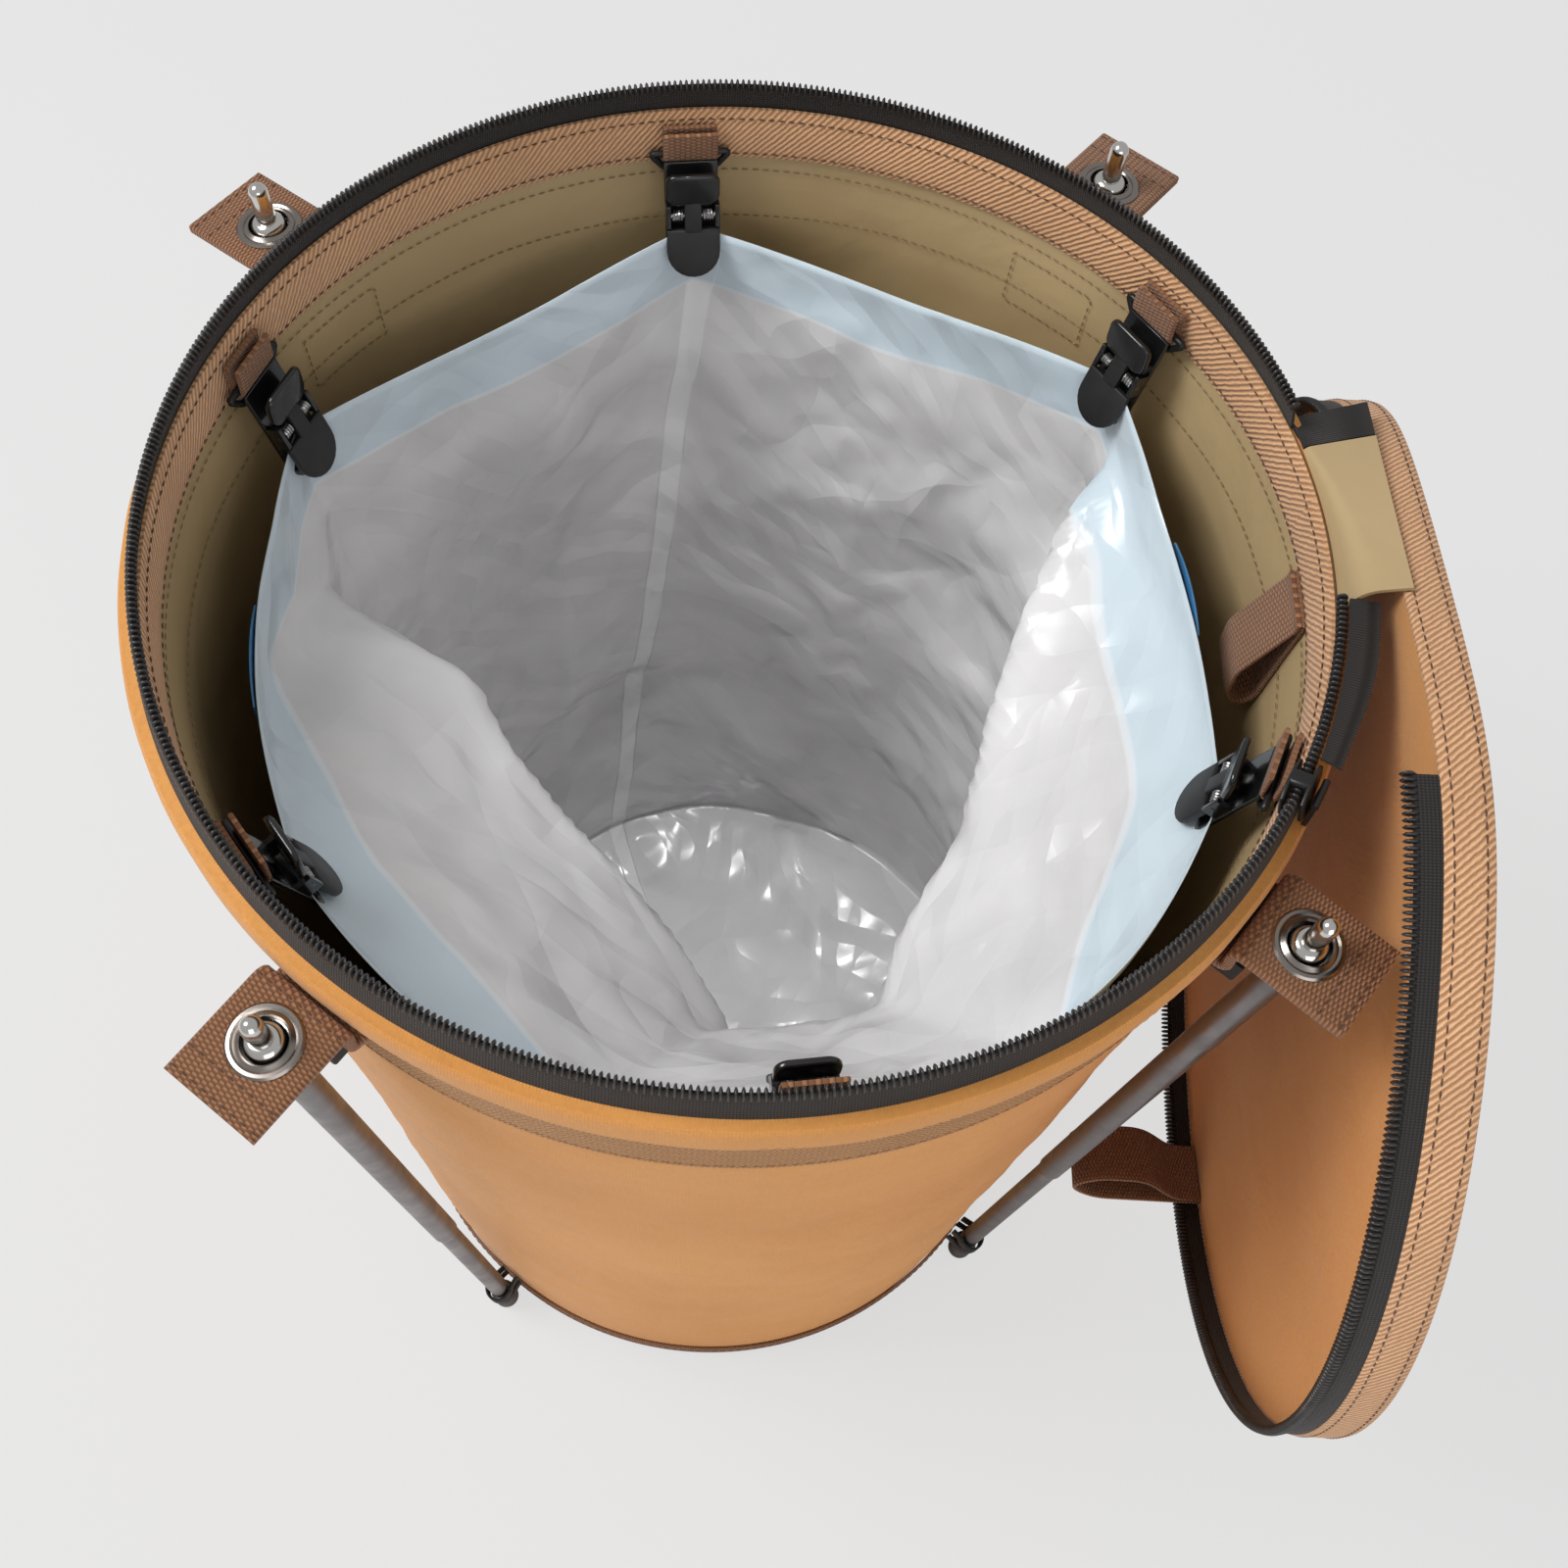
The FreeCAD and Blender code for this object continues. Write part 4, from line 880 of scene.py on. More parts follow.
cap_plastic = moulded_finish("dark_grey_cap", srgb(66, 63, 62), 0.55)
board_plastic = moulded_finish("grey_board", srgb(130, 130, 128), 0.7)
black_lacquer = metal_finish("black_lacquer", srgb(34, 33, 34), 0.35, metallic=0.3)
anodised = metal_finish("grey_anodised_tube", srgb(128, 126, 128), 0.42, streak=0.01)
nickel = metal_finish("dark_nickel", srgb(150, 142, 136), 0.25)
bright_steel = metal_finish("bright_steel", srgb(214, 212, 208), 0.16)
spring_steel = metal_finish("spring_steel", srgb(176, 176, 176), 0.3)
film = film_finish("milky_film", srgb(207, 222, 231), srgb(228, 227, 228))
blue_film = moulded_finish("blue_drawstring_film", srgb(62, 122, 168), 0.35)
ochre_thread = thread_finish("ochre_thread", srgb(168, 112, 56))
brown_thread = thread_finish("brown_thread", srgb(96, 62, 40))
khaki_thread = thread_finish("khaki_thread", srgb(140, 112, 70))


# Cloth body

def round_spot(azimuth, waves, height):
    """A place to read noise from, so that it joins up round the can."""
    angle = math.radians(azimuth)
    return Vector((waves * math.cos(angle), waves * math.sin(angle), height))


def wall_sway(azimuth, z):
    """How far the soft wall stands off its true cone: broad folds and small creases."""
    hold = smoothstep(z, 6, 70) * (1 - smoothstep(z, 350, 398))
    broad = noise.noise(round_spot(azimuth, 1.7, z / 150)) * 2.2
    crease = noise.turbulence(round_spot(azimuth, 4.6, z / 42 + 7.0), 3, True) * 1.5 - 0.6
    return hold * (broad + crease)


def shell_section(outer_offset, thickness, bottom, top, rows_out, rows_in):
    def section(azimuth):
        outline = []
        for z in steps(bottom, top, rows_out):
            outline.append((wall_radius(z) - outer_offset + wall_sway(azimuth, z), z))
        for z in steps(top, bottom, rows_in):
            outline.append((wall_radius(z) - outer_offset - thickness + wall_sway(azimuth, z), z))
        return outline
    return section


def canvas_shell():
    section = shell_section(0.0, canvas_thickness * 0.8, 1.7, wall_top_z, 96, 24)
    piece = ring_band("canvas_shell", section, around(300))
    placed(piece, CAN, "ochre_canvas", canvas, "canvas_wall")


def base_canvas():
    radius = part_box("base_panel")[1].x / MM - 0.4
    profile = [(0, 0.1), (radius - 0.8, 0.1), (radius, 0.5), (radius, 1.1), (radius - 0.8, 1.4), (0, 1.4)]
    placed(lathe("base_canvas", profile, Matrix.Identity(4), 96), CAN, "ochre_canvas", canvas, "base_panel")


def lining_bag():
    """The lining hangs inside the canvas and follows its folds, a little looser."""
    def section(azimuth):
        outline = []
        for z in steps(lining_floor_z + 1.0, wall_top_z - 0.2, 70):
            outline.append((wall_radius(z) - inside_offset + wall_sway(azimuth, z) - slack(azimuth, z), z))
        for z in steps(wall_top_z - 0.2, lining_floor_z + 0.2, 22):
            outline.append((wall_radius(z) - lining_offset + wall_sway(azimuth, z), z))
        return [(0.0, lining_floor_z + 1.0)] + outline + [(0.0, lining_floor_z + 0.1)]
    placed(ring_band("lining_bag", section, around(300)), CAN, "tan_lining", lining, "lining_wall")


def slack(azimuth, z):
    """How much further in than the canvas the lining hangs."""
    hold = smoothstep(z, 10, 60) * (1 - smoothstep(z, 395, 420))
    return hold * (0.6 + 1.6 * abs(noise.noise(round_spot(azimuth, 3.1, z / 60 + 3))))


def lining_sway(azimuth, z):
    return wall_sway(azimuth, z) - slack(azimuth, z)


def near_tab(azimuth):
    """1 at a pole tab, 0 away from it."""
    away = min(abs((azimuth - tab + 180) % 360 - 180) for tab in pole_azimuths.values())
    return 1 - smoothstep(away, 5.0, 9.0)


def hem_sleeve():
    """Canvas folded over the hoop, softly bulging, lifted where a tab comes out under it."""
    def section(azimuth):
        uneven = noise.noise(round_spot(azimuth, 9, 0))
        low = hem_low_z + 2.0 * near_tab(azimuth) + 0.35 * uneven
        high = wall_top_z + 0.3
        outline = []
        for n in range(13):
            share = n / 12
            z = low + (high - low) * (0.5 - 0.5 * math.cos(math.pi * share))
            bulge = (hem_depth + 0.3 * uneven) * math.sin(math.pi * share) ** 0.45
            outline.append((wall_radius(z) + 0.25 + bulge, z))
        outline.append((wall_radius(high) - 0.9, high + 0.25))
        outline.append((wall_radius(high) - 0.9, high - 0.2))
        outline.append((wall_radius(low) + 0.15, low + 0.4))
        return outline
    placed(ring_band("hem_sleeve", section, around(360)), CAN, "ochre_canvas", canvas, "hem_band")
    line = ring_line(wall_radius(424.5) + hem_depth - 0.1, 424.5)
    row = bar_row("hem_stitches", [line], 3.4, (2.5, 0.5, 0.35), ochre_thread, True)
    placed(row, CAN, "ochre_canvas", ochre_thread)


def webbing_band():
    def section(azimuth):
        uneven = 0.25 * noise.noise(round_spot(azimuth, 12, 4))
        low, high = band_low_z + uneven, band_high_z + uneven
        thick = band_thickness
        base = [(0.15, low), (0.15 + thick * 0.6, low), (0.15 + thick, low + 0.6)]
        base += [(0.15 + thick, z) for z in steps(low + 2.0, high - 2.0, 8)]
        base += [(0.15 + thick, high - 0.6), (0.15 + thick * 0.6, high), (0.15, high)]
        return [(wall_radius(z) + offset + wall_sway(azimuth, z), z) for offset, z in base]
    band = ring_band("webbing_band_woven", section, around(360))
    placed(band, CAN, "ochre_canvas", ochre_herringbone, "webbing_band")
    lines = []
    for z in (band_low_z + 3.0, band_high_z - 3.0):
        lines.append(ring_line(wall_radius(z) + 0.15 + band_thickness, z, sway=wall_sway))
    row = bar_row("band_stitches", lines, 3.4, (2.6, 0.6, 0.5), ochre_thread, True)
    placed(row, CAN, "ochre_canvas", ochre_thread)


def base_binding():
    low, high = 0.1, binding_height
    profile = [(0.3, low), (1.0, low), (binding_thickness, low + 0.9), (binding_thickness + 0.1, 3.0)]
    profile += [(binding_thickness + 0.1, 6.0), (binding_thickness, high - 0.8), (1.1, high), (0.3, high)]
    outline = [(wall_radius(z) + offset, z) for offset, z in profile]
    tape = ring_band("base_binding_tape", lambda azimuth: outline, around(300))
    placed(tape, CAN, "brown_webbing", brown_webbing, "base_binding")
    line = ring_line(wall_radius(6.6) + binding_thickness + 0.1, 6.6)
    row = bar_row("base_stitches", [line], 3.6, (2.6, 0.55, 0.45), brown_thread, True)
    placed(row, CAN, "brown_webbing", brown_thread)


def twill_facing():
    """Twill tape that covers the raw edges inside the mouth, slightly puckered."""
    def section(azimuth):
        pucker = 0.5 * noise.noise(round_spot(azimuth, 14, 2))
        low, high = facing_low_z + 0.8 * pucker, wall_top_z + 0.9
        outer = []
        inner = []
        for z in steps(low, high, 8):
            share = (z - low) / (high - low)
            bulge = 1.1 * math.sin(math.pi * share) ** 0.6 + 0.3 * pucker
            inner.append((wall_radius(z) - inside_offset - 0.3 - facing_thickness * 0.6 - bulge, z))
        for z in (high, low):
            outer.append((wall_radius(z) - inside_offset - 0.2, z))
        return inner + outer
    placed(ring_band("twill_facing", section, around(360)), CAN, "brown_twill", brown_twill, "twill_band")
    lines = []
    for z in (facing_low_z + 2.4, wall_top_z - 2.0):
        lines.append(ring_line(wall_radius(z) - inside_offset - facing_thickness - 0.7, z))
    row = bar_row("facing_stitches", lines, 3.2, (2.2, 0.5, 0.5), brown_thread, True)
    placed(row, CAN, "brown_twill", brown_thread)


def lining_stitches():
    """The tabs' and bands' seams show through on the lining."""
    lines = []
    for z in (band_low_z + 3.0, band_high_z - 4.0):
        lines.append(ring_line(wall_radius(z) - inside_offset - 0.7, z, sway=lining_sway))
    row = bar_row("lining_seams", lines, 3.4, (2.4, 0.45, 0.4), khaki_thread, True)
    placed(row, CAN, "tan_lining", khaki_thread)
    boxes = []
    for azimuth in pole_azimuths.values():
        corners = [(-15, 388), (15, 388), (15, 408), (-15, 408), (-15, 388)]
        line = []
        for start, end in zip(corners, corners[1:]):
            for share in steps(0, 1, 8)[:-1]:
                side = blend_of(start[0], end[0], share)
                z = blend_of(start[1], end[1], share)
                turn = azimuth + math.degrees(side / 160)
                radius = wall_radius(z) - inside_offset - 0.7 + wall_sway(turn, z) - slack(turn, z)
                line.append((ring_point(radius, z, turn), Vector((0, 0, 1))))
        boxes.append(line)
    row = bar_row("tab_box_stitches", boxes, 3.2, (2.3, 0.5, 0.4), khaki_thread, True)
    placed(row, CAN, "tan_lining", khaki_thread)


def on_zip(along, across):
    """(radius, z) on the leaning zip, along it from the wall's top and across it."""
    radius = wall_top_radius - inside_offset / 2 - along * math.sin(zip_lean) + across * math.cos(zip_lean)
    return radius, wall_top_z + along * math.cos(zip_lean) + across * math.sin(zip_lean)


def body_zip():
    """Tape and teeth round the mouth."""
    low, high = 0.4, zip_length - coil_height * 0.45
    half = 0.45
    outline = [on_zip(a, c) for a, c in ((low, -half), (low, half))]
    outline += [on_zip(a, half) for a in steps(low + 2, high - 2, 3)]
    outline += [on_zip(a, c) for a, c in ((high, half), (high, -half))]
    outline += [on_zip(a, -half) for a in steps(high - 2, low + 2, 3)]
    piece = ring_band("body_zip_tape_woven", lambda azimuth: outline, steps(zip_start, zip_end, 300), False)
    placed(piece, CAN, "black_tape", black_tape, "body_zip_tape")
    middle = zip_length - coil_height / 2
    line = []
    for azimuth in steps(zip_start, zip_end, 340):
        radius, z = on_zip(middle, 0)
        upward = ring_point(-math.sin(zip_lean), math.cos(zip_lean), azimuth)
        line.append((ring_point(radius, z, azimuth), upward))
    teeth = bar_row("body_zip_teeth", [line], tooth_pitch, (1.25, coil_height, coil_width), tooth_nylon)
    placed(teeth, CAN, "zip_coil", tooth_nylon, "body_zip_coil")


# Poles

def pole_parts(number, azimuth):
    place = pole_place(azimuth)
    upper = [(lower_tube_radius + 0.05, upper_tube_bottom), (upper_tube_radius - 0.3, upper_tube_bottom)]
    upper += [(upper_tube_radius, upper_tube_bottom + 0.4), (upper_tube_radius, collar_bottom)]
    upper += [(lower_tube_radius, collar_bottom)]
    tube = lathe("pole_%d_upper_tube" % number, upper, place)
    placed(tube, "pole_%d" % number, "pole_aluminium", anodised, "pole_upper_%d" % number)
    low, high = 3.0, upper_tube_bottom + tube_overlap
    lower = [(0, low), (lower_tube_radius, low), (lower_tube_radius, high), (0, high)]
    tube = lathe("pole_%d_lower_tube" % number, lower, place)
    placed(tube, CAN, "pole_aluminium", anodised, "pole_lower_%d" % number)
    tip = lathe("pole_%d_bullet_tip" % number, tip_profile(), place, 40, 50)
    placed(tip, "pole_%d" % number, "bright_tip", bright_steel, "pole_tip_%d" % number)


def tip_profile():
    """Collar under the grommet, barrel in it, and the round-nosed pin above."""
    edge = collar_radius - 0.2
    profile = [(0, collar_bottom), (edge, collar_bottom), (collar_radius, collar_bottom + 0.4)]
    profile += [(collar_radius, collar_top - 0.4), (edge, collar_top), (tip_radius, collar_top)]
    profile += [(tip_radius, collar_top + tip_barrel)]
    for share in steps(0, 1, 7):
        angle = share * math.pi / 2
        radius = tip_pin_radius + (tip_radius - tip_pin_radius) * math.cos(angle)
        profile.append((radius, collar_top + tip_barrel + tip_dome * math.sin(angle)))
    nose_z = pole_length + tip_pin_height - tip_nose
    profile += [(tip_pin_radius, nose_z)]
    for share in steps(0, 1, 6)[1:]:
        angle = share * math.pi / 2
        profile.append((tip_pin_radius * math.cos(angle), nose_z + tip_nose * math.sin(angle)))
    return profile


def grommet_profile():
    """Rolled outer flange, sunk shoulder and barrel of the two washers."""
    face = pole_length + tab_thickness / 2
    back = pole_length - tab_thickness / 2
    hole, rim = grommet_hole, grommet_radius
    profile = [(hole, back - 0.9), (hole + 0.4, back - 1.0), (rim - 0.4, back - 1.0), (rim, back - 0.6)]
    profile += [(rim, back), (hole + 0.7, back), (hole + 0.7, face), (rim - 0.1, face), (rim, face + 0.4)]
    profile += [(rim - 0.6, face + 1.0), (rim - 1.5, face + 1.1), (rim - 2.2, face + 0.7)]
    profile += [(hole + 1.3, face + 0.9), (hole + 0.5, face + 1.5), (hole, face + 1.1)]
    return profile + profile[:1]


def grommets():
    profile = grommet_profile()
    parts = [lathe("grommet", profile, pole_place(azimuth), 56, 30) for azimuth in pole_azimuths.values()]
    placed(joined("pressed_grommets", parts), CAN, "nickel", nickel, "grommets")


def foot_caps():
    tilt_lift = cap_radius * math.sin(pole_tilt)
    crown = 2.6
    bore = lower_tube_radius + 0.1
    bore_depth = 4
    profile = [(0, tilt_lift)]
    for share in steps(0, 1, 6):
        angle = share * math.pi / 2
        rise = crown - crown * math.cos(angle)
        profile.append((cap_radius - crown + crown * math.sin(angle), tilt_lift + rise))
    profile += [(cap_radius, cap_length - 0.6), (cap_radius - 0.5, cap_length), (bore, cap_length)]
    profile += [(bore, cap_length - bore_depth), (0, cap_length - bore_depth)]
    parts = [lathe("cap", profile, pole_place(azimuth), 40) for azimuth in pole_azimuths.values()]
    placed(joined("foot_caps", parts), CAN, "dark_cap", cap_plastic, "pole_feet")


def pole_tab(number, azimuth):
    """Doubled webbing tab, from the crease under the hem to past the grommet. Its stitches are made by
    tab_stitches and lining_stitches.
    """
    root_z = 419.2
    root_r = wall_radius(root_z) + 0.3
    back = 13.8
    points = [
        (root_r, root_z),
        (root_r + 6.4, root_z),
        (pole_top_radius - back * math.cos(pole_tilt), grommet_z + back * math.sin(pole_tilt)),
        (pole_top_radius + tab_reach * math.cos(pole_tilt), grommet_z - tab_reach * math.sin(pole_tilt)),
    ]
    path = rounded(points, 3.4, 5)
    finer = [path[0]]
    for before, after in zip(path, path[1:]):
        parts = max(1, int((after - before).length / 1.5))
        finer += [before.lerp(after, n / parts) for n in range(1, parts + 1)]
    name = "pole_tab_%d_webbing" % number
    piece = strap(name, finer, tab_width, tab_thickness, upright_place(azimuth), spans=16)
    cut_hole(piece, azimuth)
    placed(piece, CAN, "brown_webbing", brown_webbing, "pole_tab_%d" % number)


def cut_hole(piece, azimuth):
    """Removes the webbing inside the grommet's barrel."""
    inverse = pole_place(azimuth).inverted()
    shape = bmesh.new()
    shape.from_mesh(piece.data)
    inside = []
    for face in shape.faces:
        spot = inverse @ (face.calc_center_median() / MM)
        flat_radius = math.hypot(spot.x, spot.y)
        if flat_radius < grommet_hole + 1.2 and abs(spot.z - pole_length) < tab_thickness:
            inside.append(face)
    bmesh.ops.delete(shape, geom=inside, context="FACES")
    shape.to_mesh(piece.data)
    shape.free()


def tab_stitches():
    """Three short rows across each tab, on both sides of the grommet and at its end."""
    for number, azimuth in pole_azimuths.items():
        lines = []
        place = pole_place(azimuth)
        for x in (-11.8, 11.8, tab_reach - 2.0):
            line = []
            for y in steps(-13.4, 13.4, 10):
                spot = Vector((x, y, pole_length + tab_thickness / 2 + 0.05))
                line.append((place @ spot, place.to_3x3() @ Vector((1, 0, 0))))
            lines.append(line)
        row = bar_row("pole_tab_%d_stitches" % number, lines, 3.0, (2.2, 0.6, 0.5), brown_thread)
        placed(row, CAN, "brown_webbing", brown_thread)


def pole_keepers():
    """Black gussets between the wall and the poles under each tab."""
    parts = []
    for azimuth in pole_azimuths.values():
        place = pole_place(azimuth)
        top = pole_length - 17.6
        bottom = top - 9.0
        middle = place @ Vector((0, 0, (top + bottom) / 2))
        reach = math.hypot(middle.x, middle.y) - wall_radius(middle.z) - 1.9
        outline = [(-7.9, bottom + 0.4), (-7.4, top), (7.4, top), (7.9, bottom + 0.4)]
        parts.append(plate("keeper", outline, -reach, -7.7, place, 0.8))
    placed(joined("pole_gussets", parts), CAN, "black_tape", black_elastic, "pole_keepers")


def foot_loops():
    """Black elastic that crosses round each pole's foot and is sewn to the wall."""
    parts = []
    for azimuth in pole_azimuths.values():
        place = pole_place(azimuth)
        radius = lower_tube_radius + 1.0
        for tilt in (-1, 1):
            path = []
            for share in steps(0, 1, 28):
                angle = math.radians(blend_of(-128, 128, share))
                reach = radius * (1.0 + 0.12 * abs(math.cos(angle)))
                height = 23.5 + tilt * 10.0 * (share - 0.5) * (1 - 0.2 * math.cos(angle))
                path.append(Vector((reach * math.cos(angle), reach * math.sin(angle), height)))
            foot = path[0] + Vector((-4.6, 0.6, 0))
            end = path[-1] + Vector((-4.6, -0.6, 0))
            parts.append(flat_band([foot] + path + [end], 6.4, 1.1, place))
    placed(joined("elastic_loops", parts), CAN, "black_tape", black_elastic, "foot_loops")


def flat_band(path, height, thickness, place):
    """An upright flat band along a path round the local Z axis."""
    section = strap_section(height, thickness, 0.35, 2)
    stations = []
    for n, point in enumerate(path):
        run = heading(path, n)
        out = run.cross(Vector((0, 0, 1))).normalized()
        up = out.cross(run).normalized()
        stations.append([point + up * across + out * off for across, off in section])
    across = [value for value, off in section]
    return sweep("band", stations, lengths_along(path), across, False, True, place, 50.0)


# Clips

def tongue_outline(width, length, shoulder, squeeze=0.0):
    """(y, z) outline of a tongue with a round nose."""
    half = width / 2
    outline = [(half, shoulder), (-half, shoulder)]
    for share in steps(0, 1, 12):
        angle = math.pi + share * math.pi
        outline.append((half * math.cos(angle), -length + half + half * math.sin(angle) - squeeze))
    return outline


def rounded_rectangle(width, low, high, corner, parts=4):
    half = width / 2
    outline = []
    for cy, cz, start in ((half - corner, high - corner, 0), (corner - half, high - corner, 90),
                          (corner - half, low + corner, 180), (half - corner, low + corner, 270)):
        for n in range(parts + 1):
            angle = math.radians(start + 90 * n / parts)
            outline.append((cy + corner * math.cos(angle), cz + corner * math.sin(angle)))
    return outline


def clip_jaw(number, azimuth):
    """Front half of a clip: matt tongue, neck round the pin and glossy lever."""
    place = clip_place(azimuth)
    back = -grip_gap / 2
    front = back - tongue_thickness
    tongue = plate("tongue", tongue_outline(clip_width, tongue_length, -4.4), front, back, place, 0.8, -0.5)
    neck = plate("neck", rounded_rectangle(5.6, -5.4, 6.6, 0.8), front - 0.4, back, place, 0.5)
    foot = 5.0
    bend = Matrix.Translation((back, 0, foot)) @ Matrix.Rotation(-lever_lift, 4, "Y")
    bend = bend @ Matrix.Translation((-back, 0, -foot))
    lever_box = rounded_rectangle(clip_width, foot, foot + lever_length, 3.4, 5)
    lever = plate("lever", lever_box, front + 0.2, back, place @ bend, 0.8, -0.9)
    for part, material in ((tongue, tongue_plastic), (neck, tongue_plastic), (lever, lever_plastic)):
        part.data.materials.append(material)
    piece = joined("clip_%d_front" % number, [tongue, neck, lever])
    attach(piece, "jaw_%d" % number)
    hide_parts("clip_jaw_%d" % number)


def clip_backs():
    """Back halves with their lugs and the eye that the ring hangs in."""
    parts = []
    for azimuth in clip_azimuths.values():
        place = clip_place(azimuth)
        low, high = grip_gap / 2, grip_gap / 2 + clip_plate
        outline = tongue_outline(clip_width, tongue_length, 17.0)
        parts.append(plate("back", outline, low, high, place, 0.6))
        for side in (-1, 1):
            middle = side * (clip_width - lug_thickness) / 2
            near, far = middle - lug_thickness / 2, middle + lug_thickness / 2
            box = [(near, -4.0), (near, 4.0), (far, 4.0), (far, -4.0)]
            parts.append(plate("lug", box, -lug_reach, low + 0.4, place, 0.4))
        eye = [Vector((ring_bar_x, y, ring_bar_z)) for y in (-5.0, 5.0)]
        parts.append(rod("eye", eye, eye_radius, place, 20))
    placed(joined("clip_back_halves", parts), CAN, "black_plastic", lever_plastic, "clip_frames")


def clip_hardware():
    """Pins, wound springs and wire rings of all clips."""
    pins = []
    springs = []
    rings = []
    for azimuth in clip_azimuths.values():
        place = clip_place(azimuth)
        half = clip_width / 2
        pins.append(rod("pin", [Vector((pin_x, y, 0)) for y in (-half, half)], pin_radius, place, 16))
        for side in (-1, 1):
            path = []
            for share in steps(0, 1, 64):
                angle = share * 2 * math.pi * spring_turns
                x = pin_x + spring_radius * math.cos(angle)
                y = side * blend_of(3.2, 6.8, share)
                path.append(Vector((x, y, spring_radius * math.sin(angle))))
            springs.append(rod("spring", path, spring_wire_radius, place, 6))
        low = place @ Vector((ring_bar_x, 0, ring_bar_z))
        low_r = math.hypot(low.x, low.y)
        corners = [Vector((sling_radius, y, sling_z)) for y in (-ring_top_half, ring_top_half)]
        corners += [Vector((low_r, y, low.z)) for y in (ring_bottom_half, -ring_bottom_half)]
        start = (corners[0] + corners[1]) / 2
        loop = [start] + corners[1:] + corners[:1] + [start]
        rings.append(rod("ring", rounded(loop, 2.2, 4), ring_wire_radius, upright_place(azimuth), 12))
    placed(joined("clip_pins_steel", pins), CAN, "spring_steel", spring_steel, "clip_pins")
    placed(joined("clip_wound_springs", springs), CAN, "spring_steel", spring_steel, "clip_springs")
    placed(joined("clip_wire_rings", rings), CAN, "black_metal", black_lacquer, "clip_rings")


def clip_slings():
    """Webbing folded round each ring and sewn to the facing."""
    out, back = sling_radius + 1.9, sling_radius - 1.9
    points = [(out, sling_top_z), (out, sling_z - 0.6), (sling_radius, sling_z - 2.6)]
    points += [(back, sling_z - 0.6), (back, sling_top_z)]
    path = rounded(points, 1.8, 4)
    parts = []
    for azimuth in clip_azimuths.values():
        parts.append(strap("sling", path, sling_width, sling_thickness, upright_place(azimuth), spans=6))
    placed(joined("clip_webbing_slings", parts), CAN, "brown_webbing", brown_webbing, "clip_slings")


# Liner bag

def gap_of(azimuth):
    """The middle of the nearest gap between clips, and how far towards it, from 0 at a clip to 1."""
    offset = (azimuth - 30.0) % 60.0
    middle = round((azimuth - offset + 30.0) % 360.0) % 360
    return middle, math.sin(math.pi * offset / 60.0)


def bag_edge(azimuth):
    """(radius, z) of the bag's edge, held at the clips."""
    middle, share = gap_of(azimuth)
    away = math.radians(30.0 - abs((azimuth - 30.0) % 60.0 - 30.0))
    chord = math.cos(math.radians(30.0)) / math.cos(math.radians(30.0) - away)
    reach = bag_edge_radius * chord + edge_slack[middle] * share ** 0.9
    return reach, bag_edge_z - bag_sag * share ** 1.5


def fold_depth(azimuth, z):
    """How far the loose film hangs inwards here."""
    depth = 0.0
    for middle, half, deep, height, slant in bag_folds:
        away = (azimuth - middle - slant * (height - z) + 180.0) % 360.0 - 180.0
        across = max(0.0, 1.0 - abs(away) / half)
        if z > height:
            drop = (max(bag_edge_z - z, 0.0) / (bag_edge_z - height)) ** 0.85
        else:
            drop = blend_of(1.0, 0.3, (height - z) / height)
        depth += deep * across ** 1.15 * drop
    return depth


def hung_in(radius, azimuth, z):
    """The radius at which the film hangs here, once its flaps have fallen inwards."""
    for facing, out, crest, slope in bag_flaps:
        turn = math.radians((azimuth - facing + 180.0) % 360.0 - 180.0)
        if abs(turn) > math.radians(75.0):
            continue
        along = max(-120.0, min(120.0, out * math.tan(turn)))
        top = min(crest + slope * along, bag_edge_z - 22.0)
        if z > top:
            distance = blend_of(out, bag_edge_radius + 8.0, (z - top) / (bag_edge_z - top))
        else:
            distance = out + 0.1 * (top - z)
        distance += 60.0 * smoothstep(abs(turn), math.radians(46.0), math.radians(72.0))
        radius = soft_least(radius, distance / math.cos(turn), 7.0)
    return radius


def soft_least(first, second, reach):
    """The smaller of two lengths, rounded over where they meet."""
    share = max(0.0, min(1.0, 0.5 + 0.5 * (second - first) / reach))
    return blend_of(second, first, share) - reach * share * (1.0 - share)


# Without a seed noise_vector moves the creases at every run
noise.seed_set(11)


def crumple(spot):
    """Sharp creases of crushed film, in millimetres: flat facets that meet in straight lines."""
    warped = spot + 12.0 * noise.noise_vector(spot / 55)
    height = 0.0
    for n, (direction, pitch, deep) in enumerate(creases):
        wave = (warped.dot(direction) / pitch) % 2.0
        calm = smoothstep(noise.noise(spot / (1.9 * pitch) + Vector((n, 2 * n, 5))), -0.35, 0.45)
        height += deep * calm * (abs(wave - 1.0) - 0.5)
    return height


